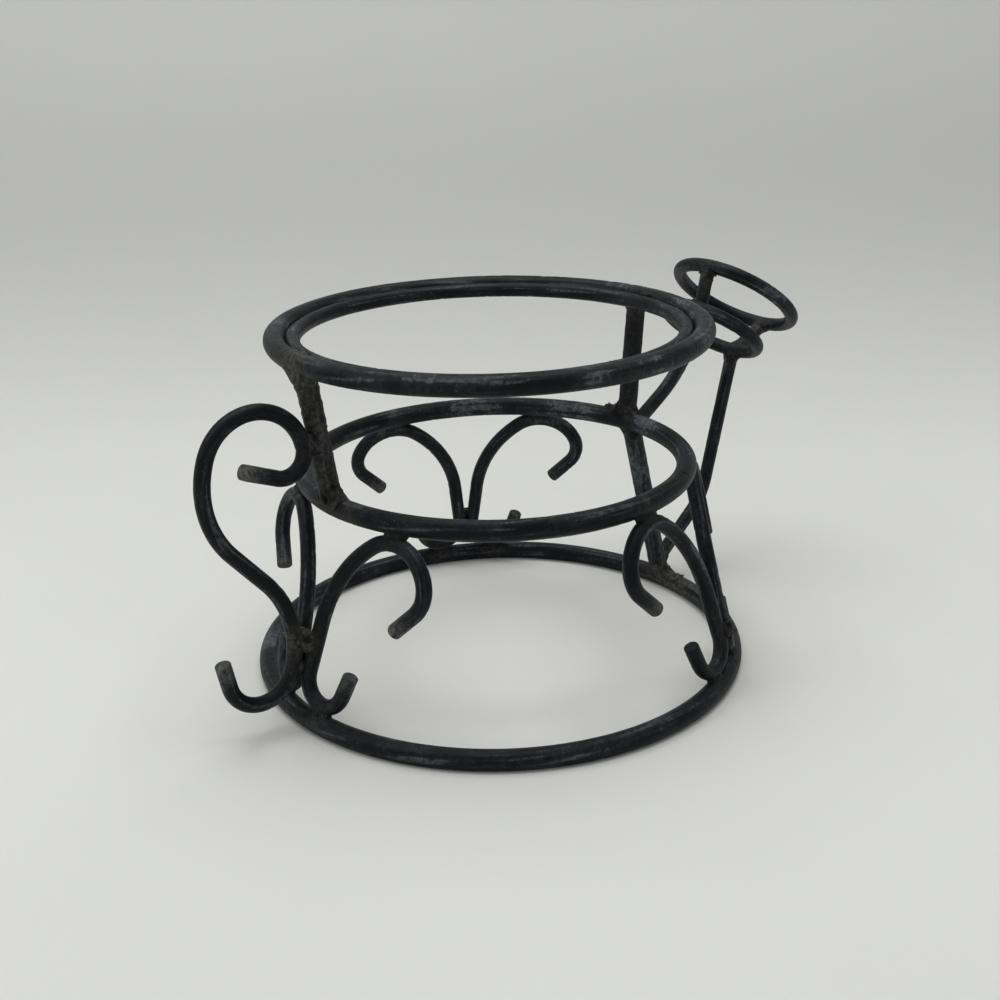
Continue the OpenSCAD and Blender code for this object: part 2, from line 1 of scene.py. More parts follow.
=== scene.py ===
# %% [markdown]
# # A welded plant stand in Blender
#
# The object is a small stand for a flower pot, bent and welded from round steel rod and painted
# black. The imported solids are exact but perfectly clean. This lesson dresses each rod and each weld
# with a surface of its own: rods that are a little uneven, cut ends, lumpy weld metal, and paint
# with dust, grit and wear.

import math

import bpy
import numpy as np
from mathutils import Matrix, Vector


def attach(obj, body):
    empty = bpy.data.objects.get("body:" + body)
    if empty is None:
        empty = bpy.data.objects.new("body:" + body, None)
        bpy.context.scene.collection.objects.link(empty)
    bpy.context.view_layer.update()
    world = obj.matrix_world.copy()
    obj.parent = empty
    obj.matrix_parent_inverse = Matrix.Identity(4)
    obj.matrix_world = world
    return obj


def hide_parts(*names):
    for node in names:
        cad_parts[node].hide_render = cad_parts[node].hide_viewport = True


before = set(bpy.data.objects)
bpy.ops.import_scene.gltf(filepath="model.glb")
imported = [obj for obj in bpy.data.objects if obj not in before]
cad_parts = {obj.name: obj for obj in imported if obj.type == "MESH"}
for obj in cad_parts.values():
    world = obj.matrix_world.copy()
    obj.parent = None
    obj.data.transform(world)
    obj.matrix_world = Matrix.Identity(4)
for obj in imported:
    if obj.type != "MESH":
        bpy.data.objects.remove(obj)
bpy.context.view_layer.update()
print("solids in the frame:", len(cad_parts))

# %% [markdown]
# ## The camera
#
# The photograph looks down at the stand from the handle's right. A camera can be placed by eye and
# nudged, but the rings make it exact: the place and the three turns below come from fitting the
# rods' outlines, so the render can be laid over the photograph.

# %% Camera
LENS = 47.907
CAMERA_PLACE = (-0.25612, -0.30559, 0.20189)
FACING = math.radians(40)
AROUND, DOWN, ROLL = FACING + 0.0019, 0.35988, 0.02413

camera = bpy.data.objects.new("camera", bpy.data.cameras.new("camera"))
bpy.context.scene.collection.objects.link(camera)
bpy.context.scene.camera = camera
camera.data.sensor_width = 36.0
camera.data.lens = LENS
camera.data.clip_start = 0.01
camera.rotation_mode = "XYZ"


def turn_matrix(axis, angle):
    """The 3 x 3 matrix that turns points by angle, in radians, about the x, y or z axis."""
    c, s = math.cos(angle), math.sin(angle)
    i, j = [(1, 2), (2, 0), (0, 1)]["xyz".index(axis)]
    matrix = np.eye(3)
    matrix[i, i] = matrix[j, j] = c
    matrix[i, j], matrix[j, i] = -s, s
    return matrix


look = turn_matrix("z", -AROUND) @ turn_matrix("x", math.pi / 2 - DOWN) @ turn_matrix("z", -ROLL)
camera.location = CAMERA_PLACE
camera.rotation_euler = Matrix(look.tolist()).to_euler()
print("camera at", [round(v, 4) for v in camera.location])

# %% [markdown]
# ## Sizes and planes
#
# Two rods make the whole stand: a heavy one for three of the rings and the uprights, and a light
# one for everything that is curled. Sizes are in millimetres, as on a drawing, and are turned to
# metres when a mesh is made. Each rod lies in a flat plane, so a plane is kept as an origin and
# two directions.

# %% Sizes and planes
MM = 0.001
HEAVY = 6.35
LIGHT = 4.76


def along(degrees):
    """The unit direction at an angle from the first axis of a plane."""
    return np.array([math.cos(math.radians(degrees)), math.sin(math.radians(degrees))])


def upright_plane(azimuth):
    """The plane through the stand's axis in direction azimuth: first axis outward, second axis up."""
    x, y = along(azimuth)
    return np.zeros(3), np.array([x, y, 0.0]), np.array([0.0, 0.0, 1.0])


def level_plane(centre):
    """A level plane at the height of centre, with the stand's own X and Y as its axes."""
    return np.array(centre, float), np.array([1.0, 0, 0]), np.array([0, 1.0, 0])


def on_plane(plane, flat):
    """Points of a plane in space: origin + first number * first axis + second number * second axis."""
    origin, first, second = plane
    flat = np.asarray(flat, float)
    return origin + flat[..., :1] * first + flat[..., 1:2] * second


print("heavy rod", HEAVY, "mm, light rod", LIGHT, "mm")

# %% [markdown]
# ## A bent rod's route
#
# A smith bends a rod as a chain of straight lengths and round bends, so the route is written that
# way: `[0, length]` is a straight and `[radius, turn]` a bend, to the left when the turn is
# positive. A curve drawn through hand-placed points would wobble; arcs stay fair.

# %% Routes
STEP = 0.5


def route(pieces, start):
    """Middle line of a bent rod in its plane.

    A straight runs on at the same heading a. A bend of radius r moves by
    r * (sin(a + turn) - sin(a)) and -r * (cos(a + turn) - cos(a)), sampled at even lengths.
    Gives the points, and the length from the start to each.
    """
    x, y, heading = start[0], start[1], math.radians(start[2])
    xs, ys, lengths, done = [np.array([x])], [np.array([y])], [np.zeros(1)], 0.0
    for radius, amount in pieces:
        size = amount if radius == 0 else radius * abs(math.radians(amount))
        t = np.linspace(0, 1, max(2, int(size / STEP)) + 1)[1:]
        if radius == 0:
            px, py = x + t * size * math.cos(heading), y + t * size * math.sin(heading)
        else:
            r = math.copysign(radius, amount)
            a = heading + t * math.radians(amount)
            px = x + r * (np.sin(a) - math.sin(heading))
            py = y - r * (np.cos(a) - math.cos(heading))
            heading += math.radians(amount)
        xs.append(px)
        ys.append(py)
        lengths.append(done + t * size)
        x, y, done = px[-1], py[-1], done + size
    return np.column_stack([np.concatenate(xs), np.concatenate(ys)]), np.concatenate(lengths)


def circle_route(radius):
    """A closed circle in its plane: radius * (cos a, sin a) for a once round."""
    a = np.linspace(0, 2 * np.pi, int(2 * np.pi * radius / STEP), endpoint=False)
    return radius * np.column_stack([np.cos(a), np.sin(a)]), radius * a


_, test_lengths = route([[0, 10], [5, 90]], [0, 0, 0])
print("a 10 mm straight and a quarter bend of 5 mm:", round(test_lengths[-1], 2), "mm long")

# %% [markdown]
# ## Where the rods go
#
# Each rod has a plane, a route and a thickness. The places could be copied as a table of numbers,
# but a table says nothing of why a rod lies where it does. Here a few driving sizes are given, and
# the rods are fitted as a smith fits them: each rests on what carries it. The rings come first,
# then the three straight uprights between them.

# %% Driving sizes
WELD_GAP = 0.15
REST_FLAT = 0.4
BASE_POINT = np.array([76.0, HEAVY / 2 - REST_FLAT])
MID_POINT = np.array([59.8, 65.3])
RIM_R, RIM_HEIGHT = 65.2, 108.2
RIM_INNER_DROP = 0.7
RIM_CENTRE = 1.0 * along(154)
GROOVE_PAINT = 0.035
UPRIGHT_ENDS_IN, STRUT_ENDS_IN = 2.6, 1.9

HEAVY_ON_LIGHT = (HEAVY + LIGHT) / 2 + WELD_GAP
LIGHT_ON_LIGHT = LIGHT + WELD_GAP
END_ON_HEAVY = HEAVY / 2 + WELD_GAP
END_ON_LIGHT = LIGHT / 2 + WELD_GAP
print("heavy rod against light rod, middle to middle:", round(HEAVY_ON_LIGHT, 3), "mm")


def slope_of(run):
    """The slope of a direction in a plane, in degrees."""
    return math.degrees(math.atan2(run[1], run[0]))


def rim_point(azimuth):
    """Where the outer rim ring passes over an upright plane. Its centre lies c along and s across
    the plane, so it passes at c + sqrt(r^2 - s^2)."""
    beside, across = RIM_CENTRE @ along(azimuth), RIM_CENTRE @ along(azimuth + 90)
    return np.array([beside + math.sqrt(RIM_R**2 - across**2), RIM_HEIGHT])


# %% Rings and uprights
RIM_INNER_R = RIM_R - (HEAVY + LIGHT) / 2 + GROOVE_PAINT
rods = {
    "base_ring": dict(plane=level_plane([0, 0, BASE_POINT[1]]), circle=BASE_POINT[0], d=HEAVY),
    "mid_ring": dict(plane=level_plane([0, 0, MID_POINT[1]]), circle=MID_POINT[0], d=HEAVY),
    "rim_ring_outer": dict(plane=level_plane([*RIM_CENTRE, RIM_HEIGHT]), circle=RIM_R, d=HEAVY),
    "rim_ring_inner": dict(
        plane=level_plane([*RIM_CENTRE, RIM_HEIGHT - RIM_INNER_DROP]), circle=RIM_INNER_R, d=LIGHT
    ),
}


def straight_rod(azimuth, low, high, gap, d):
    """A straight rod in an upright plane from low to high, the middles of the rods it meets, each
    (outward, up). It ends gap short of both, which is inside them, so that no light shows between."""
    slope = slope_of(high - low)
    start = low + gap * along(slope)
    length = np.linalg.norm(high - low) - 2 * gap
    return dict(plane=upright_plane(azimuth), pieces=[[0, length]], start=[*start, slope], d=d)


HANDLE_UPRIGHT, SPOUT_UPRIGHT, SPOUT_LEG = 176.9, 0.9, -1
handle_rim, spout_rim = rim_point(HANDLE_UPRIGHT), rim_point(SPOUT_UPRIGHT)
uprights = {
    "upright_handle_side": (HANDLE_UPRIGHT, MID_POINT, handle_rim),
    "upright_spout_side": (SPOUT_UPRIGHT, MID_POINT, spout_rim),
    "leg_upright_spout_side": (SPOUT_LEG, BASE_POINT, MID_POINT),
}
for name, (azimuth, low, high) in uprights.items():
    rods[name] = straight_rod(azimuth, low, high, UPRIGHT_ENDS_IN, HEAVY)
print("rings and uprights:", len(rods))

# %% [markdown]
# ## The leg scrolls
#
# Six scrolls in three pairs carry the mid ring: each stands on the base ring, arches under the mid
# ring and ends in a hook. Each could be drawn on its own, but a smith bends all six on one jig, so
# they share their bends here too. Only the length of the straight stem and the lean of the plane
# follow from where the arch has to rest.

# %% A leg scroll's bends
STEM_SLOPE = 80.5
FOOT_TIP, FOOT_R, FOOT_TURN = 7.4, 7.4, 70.6
FLANK_R = 40.8
ARCH_R, ARCH_IN, ARCH_OUT = 13.4, 35.7, 68.3
HOOK_R, HOOK_TURN, HOOK_TIP = 8.8, 66.9, 9.4
FOOT_IN = 180 - STEM_SLOPE

foot_bend = [FOOT_R, -FOOT_IN]
flank = [FLANK_R, ARCH_IN - STEM_SLOPE]


def scroll_pieces(stem):
    """Foot, stem, flank, arch and hook, from the foot's end up to the hook's tip."""
    foot = [[0, FOOT_TIP], [FOOT_R, -FOOT_TURN - FOOT_IN]]
    top = [[ARCH_R, -ARCH_IN - ARCH_OUT], [HOOK_R, -HOOK_TURN], [0, HOOK_TIP]]
    return [*foot, [0, stem], flank, *top]


heading = FOOT_TURN + 180
foot_start = [*(FOOT_R * (along(FOOT_TURN - 90) + [0, 1]) - FOOT_TIP * along(heading)), heading]
print("a scroll starts", np.round(foot_start[:2], 2), "mm from its foot's lowest point")

# %% Leg scrolls
FOOT_SEAT, ARCH_SEAT = 15, 25.8
FIRST_FOOT_ANGLE, ROUNDS = 8.0, 8
FOOT_REACH, FOOT_RISE = BASE_POINT + HEAVY_ON_LIGHT * along(90 + FOOT_SEAT)
ARCH_REACH, ARCH_RISE = MID_POINT + HEAVY_ON_LIGHT * along(ARCH_SEAT - 90)


def fitted_scroll(spread):
    """How one scroll stands: its foot's angle from the pair's middle, its plane's bearing and
    lean, and the length of its stem, for an arch at the angle spread from the pair's middle.

    With c the way from the foot's lowest point to the arch's top without a stem, and u the stem's
    direction, the length s follows from |c + s u| = the distance between the two in space. The
    foot is then turned until the two feet of the pair touch, which a few rounds settle.
    """
    no_stem = route([foot_bend, flank, [ARCH_R, -ARCH_IN]], [0, 0, 180])[0][-1]
    stem_run = along(STEM_SLOPE)
    rise = ARCH_RISE - FOOT_RISE
    foot_angle = FIRST_FOOT_ANGLE
    for _ in range(ROUNDS):
        across = ARCH_REACH * along(spread) - FOOT_REACH * along(foot_angle)
        spare = across @ across + rise**2 - no_stem @ no_stem
        shadow = no_stem @ stem_run
        stem = math.sqrt(shadow**2 + spare) - shadow
        top = no_stem + stem * stem_run
        lean = math.degrees(math.acos(rise / top[1]))
        sideways = top[1] * math.sin(math.radians(lean))
        bearing = slope_of(across) - slope_of([top[0], sideways])
        bend_side = np.array([math.sin(math.radians(lean)), -1]) @ along(bearing)
        gap = FOOT_REACH * math.sin(math.radians(foot_angle)) + FOOT_R * bend_side
        foot_angle += math.degrees((LIGHT_ON_LIGHT / 2 - gap) / FOOT_REACH)
    return foot_angle, bearing, lean, stem


def scroll_plane(pair, side, foot_angle, bearing, lean):
    """The leaning plane of one scroll, with the foot's lowest point as its origin. The first axis
    runs level at bearing, the second leans out of the upright. Side -1 is the mirror image."""
    x, y = FOOT_REACH * along(foot_angle)
    c, s = along(bearing)
    rise, tip = along(lean)
    axes = np.array([[x, y, FOOT_RISE], [c, s, 0], [-s * tip, c * tip, rise]])
    axes[:, 1] *= side
    return tuple(axes @ turn_matrix("z", math.radians(pair)).T)


HANDLE_PAIR, FRONT_PAIR, BACK_PAIR = 177.4, -62.0, 59.4
SPREAD = 24.6
scrolls = {
    "leg_scroll_handle_left": (HANDLE_PAIR, -1, SPREAD - 0.3),
    "leg_scroll_handle_right": (HANDLE_PAIR, 1, SPREAD + 0.4),
    "leg_scroll_front_left": (FRONT_PAIR, -1, SPREAD - 0.2),
    "leg_scroll_front_right": (FRONT_PAIR, 1, SPREAD - 0.3),
    "leg_scroll_back_left": (BACK_PAIR, -1, SPREAD - 0.3),
    "leg_scroll_back_right": (BACK_PAIR, 1, SPREAD + 1.1),
}
for name, (pair, side, spread) in scrolls.items():
    *place, stem = fitted_scroll(spread)
    plane = scroll_plane(pair, side, *place)
    rods[name] = dict(plane=plane, pieces=scroll_pieces(stem), start=foot_start, d=LIGHT)
print("rods with the scrolls:", len(rods))

# %% [markdown]
# ## The handle
#
# The handle is one rod: a tight curl on the upright, a loop, a long back, and a belly that nests in
# the groove between the two stems of its pair. A curve could be pulled about until it seems to
# touch. Here the bends are given, and the two places of touch turn and place the whole rod.

# %% Handle
CURL_R, BELLY_R = 6.56, 30.8
curl_and_loop = [[0, 11.8], [CURL_R, 119.5], [15.58, 151.2]]
back_and_belly = [[29.5, 61.8], [0, 14.6], [BELLY_R, -59.2]]
handle_pieces = [*curl_and_loop, *back_and_belly, [10.4, -150.5], [0, 8.3]]
CURL, BELLY = 1, 5
CURL_HEIGHT, BELLY_HEIGHT = 85.6, 19.6
GROOVE_EASE = 0.3
HANDLE_PLANE = HANDLE_PAIR + 0.3


def bend_centre(pieces, number):
    """The middle of a bend of a route that starts at the origin: square to the left of the heading
    where the bend begins, one radius away, or to the right when it turns right."""
    points, _ = route(pieces[:number], [0, 0, 0])
    heading = sum(amount for radius, amount in pieces[:number] if radius)
    radius, amount = pieces[number]
    return points[-1] + math.copysign(radius, amount) * along(heading + 90)


handle_spreads = [spread for pair, _, spread in scrolls.values() if pair == HANDLE_PAIR]


def groove_point(height):
    """The point of the pair's middle plane at a height, (outward, up), where a light rod nests
    against both stems: the larger root of |d|^2 - (d . run)^2 = touch^2, with d the way from the
    stem's foot."""
    foot_angle, bearing, lean, _ = fitted_scroll(sum(handle_spreads) / 2)
    origin, first, second = scroll_plane(0, 1, foot_angle, bearing, lean)
    low = route([foot_bend], [0, 0, 180])[0][-1]
    stem_foot = origin + low[0] * first + low[1] * second
    stem_run = np.array([first, second]).T @ along(STEM_SLOPE)
    away = np.array([0, -stem_foot[1], height - stem_foot[2]])
    a, b = 1 - stem_run[0] ** 2, -stem_run[0] * (away @ stem_run)
    c = away @ away - (away @ stem_run) ** 2 - (LIGHT_ON_LIGHT + GROOVE_EASE) ** 2
    return np.array([stem_foot[0] + (-b + math.sqrt(b * b - a * c)) / a, height])


# The curl's middle lies off the upright by its radius, two half rods and the weld's gap. The
# belly's middle lies its radius outside the groove, as far from the curl's middle as the bends
# between them say, and the angle whose cosine is drop / that distance gives the slope of the line.
handle_lean = slope_of(handle_rim - MID_POINT)
climb = (CURL_HEIGHT - MID_POINT[1]) / math.sin(math.radians(handle_lean))
curl_at = MID_POINT + climb * along(handle_lean) + (HEAVY_ON_LIGHT + CURL_R) * along(handle_lean - 90)
groove_low, groove_high = groove_point(BELLY_HEIGHT - 1), groove_point(BELLY_HEIGHT + 1)
groove_out = slope_of(groove_high - groove_low) - 90
curl, belly = bend_centre(handle_pieces, CURL), bend_centre(handle_pieces, BELLY)
drop = (groove_low - curl_at) @ along(groove_out) + BELLY_R
span_slope = groove_out - math.degrees(math.acos(drop / np.linalg.norm(belly - curl)))
handle_turn = 180 - span_slope - slope_of(belly - curl)
curl_turned = turn_matrix("z", math.radians(handle_turn))[:2, :2] @ curl
origin, outward, upward = upright_plane(HANDLE_PLANE)
rods["handle_scroll"] = dict(
    plane=(origin, -outward, upward),
    pieces=handle_pieces,
    start=[*(curl_at * [-1, 1] - curl_turned), handle_turn],
    d=LIGHT,
)
print("the handle starts at", np.round(rods["handle_scroll"]["start"], 2))

# %% [markdown]
# ## The spout
#
# Two rings face the way that water would pour. A bent rod from the mid ring carries the large one,
# another from the short upright carries the small one, and a strut joins them. Rods drawn by eye
# would miss the rings by a little, so the straights of each are solved from where it starts, where
# it ends and how sharply it bends.

# %% Spout
SPOUT_PLANE, UPPER_PLANE, LOWER_PLANE = 0.7, -0.4, 1.3
SPOUT_TILT = 52.5
LARGE_R, SMALL_R, RING_STEP = 21.7, 17.3, 15.5
LARGE_AT = np.array([115.6, 100.1])
UPPER_SLOPES, UPPER_BEND = (33, 75), 48
LOWER_SLOPES, LOWER_BEND = (37.8, 74), 23.4
LOWER_FOOT_UP = 4.8


def bent_rod(azimuth, foot, end, slopes, bend):
    """A rod with one bend from foot to end in an upright plane. Its two straights are the lengths
    a and b that solve a * first slope + b * second slope = the way left over by the bend."""
    (c1, s1), (c2, s2) = along(slopes[0]), along(slopes[1])
    left_over = end - foot - bend * np.array([s2 - s1, c1 - c2])
    first, last = np.linalg.solve([[c1, c2], [s1, s2]], left_over)
    pieces = [[0, first], [bend, slopes[1] - slopes[0]], [0, last]]
    return dict(plane=upright_plane(azimuth), pieces=pieces, start=[*foot, slopes[0]], d=LIGHT)


across_rings = along(SPOUT_TILT - 90)
large_high, large_low = LARGE_AT - LARGE_R * across_rings, LARGE_AT + LARGE_R * across_rings
upper_foot = MID_POINT + [HEAVY_ON_LIGHT, 0]
upper_end = large_high - END_ON_LIGHT * along(UPPER_SLOPES[1])
rods["spout_rod_upper"] = bent_rod(UPPER_PLANE, upper_foot, upper_end, UPPER_SLOPES, UPPER_BEND)

small_level = LARGE_AT - RING_STEP * along(SPOUT_TILT)
inner_side = along(UPPER_SLOPES[1] + 90)
to_rod = (small_level - upper_end) @ inner_side
slide = (LIGHT_ON_LIGHT + GROOVE_EASE - to_rod) / (across_rings @ inner_side)
small_at = small_level + (slide + SMALL_R) * across_rings
small_low = small_at + SMALL_R * across_rings

leg_lean = slope_of(MID_POINT - BASE_POINT)
foot_out = END_ON_HEAVY + LIGHT / 2 * abs(math.sin(math.radians(LOWER_SLOPES[0] - leg_lean + 90)))
lower_foot = BASE_POINT + LOWER_FOOT_UP * along(leg_lean) + foot_out * along(leg_lean - 90)
lower_end = small_low - END_ON_LIGHT * along(LOWER_SLOPES[1])
rods["spout_rod_lower"] = bent_rod(LOWER_PLANE, lower_foot, lower_end, LOWER_SLOPES, LOWER_BEND)
rods["spout_ring_strut"] = straight_rod(SPOUT_PLANE, small_low, large_low, STRUT_ENDS_IN, LIGHT)


def tilted_ring(azimuth, centre, tilt, radius):
    """A ring that faces along the slope tilt in an upright plane: its own plane holds the level
    direction across, and the direction square to both."""
    upright = upright_plane(azimuth)
    middle = on_plane(upright, [centre])[0]
    down_out = on_plane(upright, [along(tilt - 90)])[0]
    across = np.cross(upright[2], upright[1])
    return dict(plane=(middle, down_out, across), circle=radius, d=LIGHT)


rods["spout_ring_large"] = tilted_ring(SPOUT_PLANE, LARGE_AT, SPOUT_TILT, LARGE_R)
rods["spout_ring_small"] = tilted_ring(SPOUT_PLANE, small_at, SPOUT_TILT, SMALL_R)
print("all rods:", len(rods))

# %% [markdown]
# ## Uneven metal
#
# Drawn rod is round, but bending, welding and brush painting leave it slightly lumpy and pitted. A
# sculpt or a displacement texture could do this. Here the lumps are numbers: random values sit on
# a lattice in space, and each point of a surface blends the eight values round it.

# %% Lattice noise
CELLS = 64
LATTICE = np.random.default_rng(11).random((CELLS, CELLS, CELLS))
LATTICE_MIDDLE = 200.37


def unevenness(points, size, shift=0):
    """Smooth random field, 0 to 1, whose lumps are size apart. Another shift gives another field.

    Each point lies in a lattice cell; with f its place in the cell, and f * f * (3 - 2 f) as the
    blend, the value is the blended mean of the cell's eight corners.
    """
    scaled = (points + shift) / size + LATTICE_MIDDLE
    cell = np.floor(scaled).astype(int)
    blend = scaled - cell
    blend = blend * blend * (3 - 2 * blend)
    total = np.zeros(points.shape[:-1])
    for corner in np.ndindex(2, 2, 2):
        weight = np.prod(np.where(corner, blend, 1 - blend), axis=-1)
        i, j, k = np.moveaxis((cell + corner) % CELLS, -1, 0)
        total += weight * LATTICE[i, j, k]
    return total


def soft_step(values, low, high):
    """0 below low, 1 above high, and t * t * (3 - 2 t) between."""
    t = np.clip((values - low) / (high - low), 0, 1)
    return t * t * (3 - 2 * t)


WAVE, SMALL_WAVE, GRAIN, PIT = 0.07, 0.025, 0.03, 0.14
CRUST, BURR, ROUGHNESS = 0.32, 0.6, 0.18


def lumps(points, rough):
    """How far the skin moves out, in mm: slow waves, small lumps, and pits where the field peaks.
    Where a weld left it rough, crust, burrs and a finer roughness come on top."""
    waves = WAVE * (unevenness(points, 14) - 0.75) + SMALL_WAVE * (unevenness(points, 4.3) - 0.7)
    grains = GRAIN * (unevenness(points, 0.9) - 0.6)
    pits = PIT * soft_step(unevenness(points, 1.5, 50), 0.74, 0.9)
    patches = soft_step(unevenness(points, 4), 0.2, 0.6)
    crust = CRUST * soft_step(unevenness(points, 0.9, 90), 0.45, 0.95) * patches
    burrs = BURR * soft_step(unevenness(points, 1.2, 120), 0.86, 0.97)
    return waves + grains - pits + rough * (crust + burrs + ROUGHNESS * (unevenness(points, 0.7) - 0.5))


print("noise on one point:", float(unevenness(np.array([1.0, 2.0, 3.0]), 2)))

# %% [markdown]
# ## Where the welds are
#
# Heat and spatter mark the rods next to each weld, so the welds are listed before the rods get
# their skins. A bead has a place, the direction it runs in, the direction from one rod through the
# weld to the other, and half sizes. A collar goes round a rod that ends on another.

# %% Weld places
beads, collars = {}, {}


def groove_bead(group, azimuth, place, run, through, half):
    """A bead laid in the groove between two rods, placed in an upright plane (outward, up).

    run is "level" for a bead that follows a ring, or the slope of the rod that it follows;
    through is the slope of the line from rod to rod, or "level". half is the bead's half size
    along the run, across, and through.
    """
    plane = upright_plane(azimuth)
    origin = on_plane(plane, [place])[0]
    level = np.cross(plane[2], plane[1])
    run_axis = level if run == "level" else on_plane(plane, [along(run)])[0]
    through_axis = level if through == "level" else on_plane(plane, [along(through)])[0]
    beads.setdefault(group, []).append((origin, run_axis, through_axis, half))


upper_lean, lower_lean = UPPER_SLOPES[1], LOWER_SLOPES[1]
ARCH_BEAD = MID_POINT + (HEAVY + WELD_GAP) / 2 * along(ARCH_SEAT - 90)
FOOT_BEAD = BASE_POINT + (HEAVY + WELD_GAP) / 2 * along(90 + FOOT_SEAT)
FEET_SPREAD = 7.75
for pair, side, spread in scrolls.values():
    at_arch, at_foot = pair + side * spread, pair + side * FEET_SPREAD
    groove_bead("welds_leg_arches", at_arch, ARCH_BEAD, "level", ARCH_SEAT - 90, (5.2, 2.5, 3.0))
    groove_bead("welds_leg_feet", at_foot, FOOT_BEAD, "level", 90 + FOOT_SEAT, (4.8, 2.6, 3.0))
for pair in (HANDLE_PAIR, FRONT_PAIR, BACK_PAIR):
    groove_bead("welds_leg_pairs", pair, [75.9, 18.2], 100, "level", (3.4, 2.3, 2.8))
for angle in (354, 84, 172, 262):
    plane = upright_plane(angle)
    place = on_plane(plane, [[61.95, 109.6]])[0] + np.array([*RIM_CENTRE, 0])
    level = np.cross(plane[2], plane[1])
    beads.setdefault("welds_rim_rings", []).append((place, level, plane[1], (2.8, 1.2, 1.6)))

groove_bead("welds_handle", HANDLE_PLANE, [66.01, 85.13], handle_lean, handle_lean - 90, (4.8, 2.9, 3.0))
groove_bead("welds_handle", HANDLE_PLANE + 0.3, [73.1, 26.4], 100, "level", (4.2, 3.4, 4.3))
groove_bead("welds_spout_feet", UPPER_PLANE, [63.05, 65.3], "level", 0, (4.0, 3.2, 3.1))
groove_bead("welds_spout_feet", LOWER_PLANE, lower_foot, leg_lean, leg_lean - 90, (3.6, 3.2, 3.2))
groove_bead("welds_spout_rings", UPPER_PLANE, [91.94, 99.9], upper_lean, upper_lean + 90, (3.6, 2.6, 3.0))
groove_bead("welds_upright_ends", 7.9, [60.7, 66.5], "level", 50, (4.6, 3.2, 2.9))
groove_bead("welds_upright_ends", 353.5, [75.5, 4.2], "level", 100, (6.5, 3.1, 2.2))
print("beads:", sum(len(b) for b in beads.values()))

# %% Collars round rod ends
def end_collar(group, azimuth, place, slope, d, reach, rise, flare):
    """A collar of weld round a rod that ends on the side of another one as thick.

    place is the middle of the rod that carries it and slope the way the ending rod leaves. The
    weld spreads by reach and climbs by rise, and by flare more towards one side of its host.
    """
    plane = upright_plane(azimuth)
    origin = on_plane(plane, [place])[0]
    leave = on_plane(plane, [along(slope)])[0]
    host = np.cross(plane[2], plane[1])
    collars.setdefault(group, []).append((origin, leave, host, d / 2, reach, rise, flare))


spout_lean, strut_lean = slope_of(spout_rim - MID_POINT), slope_of(large_low - small_low)
for collar in (
    (HANDLE_UPRIGHT, MID_POINT, handle_lean, HEAVY, 1.9, 3.4, 2.4),
    (HANDLE_UPRIGHT, handle_rim, handle_lean + 180, HEAVY, 2.0, 4.6, -3.0),
    (SPOUT_UPRIGHT, MID_POINT, spout_lean, HEAVY, 2.0, 3.2, 1.8),
    (SPOUT_UPRIGHT, spout_rim, spout_lean + 180, HEAVY, 1.5, 2.6, 0),
    (SPOUT_LEG, BASE_POINT, leg_lean, HEAVY, 1.9, 3.6, -1.6),
    (SPOUT_LEG, MID_POINT, leg_lean + 180, HEAVY, 1.5, 2.6, 0),
):
    end_collar("welds_upright_ends", *collar)
for collar in (
    (UPPER_PLANE, large_high, upper_lean + 180, LIGHT, 1.2, 2.4, 0),
    (LOWER_PLANE, small_low, lower_lean + 180, LIGHT, 1.3, 2.6, 0),
    (SPOUT_PLANE, small_low, strut_lean, LIGHT, 1.1, 2.0, 0),
    (SPOUT_PLANE, large_low, strut_lean + 180, LIGHT, 1.1, 2.0, 0),
):
    end_collar("welds_spout_rings", *collar)
all_groups = [*beads.values(), *collars.values()]
weld_places = np.array([weld[0] for group in all_groups for weld in group])
print("weld places:", len(weld_places))

# %% [markdown]
# ## The rod's skin
#
# A rod's skin is a circle carried along its route. Blender's curve bevel does the same, but as a
# grid of points each place can also be pushed in or out, and can carry marks for the paint: how
# dusty it is, how much grit it took from a weld, and how worn. The cut ends are rounded over a
# little and closed with a flat face.

# %% Skins
def carried_circle(centres, sideways, normal, radius):
    """Grid of points: centre + radius * (cos a * sideways + sin a * normal), a once round.

    Gives the points, and the spoke that each lies on.
    """
    a = np.linspace(0, 2 * np.pi, radius.shape[1], endpoint=False)
    spokes = np.cos(a)[None, :, None] * sideways[:, None, :] + np.sin(a)[None, :, None] * normal
    return centres[:, None, :] + radius[:, :, None] * spokes, spokes


def grid_faces(rows, columns, closed):
    """Four-cornered faces between neighbouring rows, joined round, and last row to first if closed."""
    i = np.arange(rows if closed else rows - 1)[:, None]
    j = np.arange(columns)[None, :]
    a, b = i * columns + j, i * columns + (j + 1) % columns
    c, d = ((i + 1) % rows) * columns + (j + 1) % columns, ((i + 1) % rows) * columns + j
    return np.stack([a, b, c, d], axis=-1).reshape(-1, 4)


def end_faces(rows, columns):
    """Triangles from the first and the last row to a middle point of each, numbered after the grid."""
    j = np.arange(columns)
    k = (j + 1) % columns
    low = np.stack([k, j, np.full(columns, rows * columns)], -1)
    top = (rows - 1) * columns
    high = np.stack([top + j, top + k, np.full(columns, rows * columns + 1)], -1)
    return np.concatenate([low, high])


def signed_volume(points, quads, tris):
    """A sixth of the sum of a . (b x c) over all triangles a, b, c: positive if the faces look out."""
    corners = np.concatenate([quads[:, [0, 1, 2]], quads[:, [0, 2, 3]], tris])
    a, b, c = (points[corners[:, k]] for k in range(3))
    return np.einsum("ij,ij->", a, np.cross(b, c)) / 6


print("faces of a 3 by 4 grid:", len(grid_faces(3, 4, False)))

# %% A mesh from skins
NO_TRIS = np.zeros((0, 3), int)
MARKS = ("dust", "grit", "rusty", "worn", "pit", "streak")


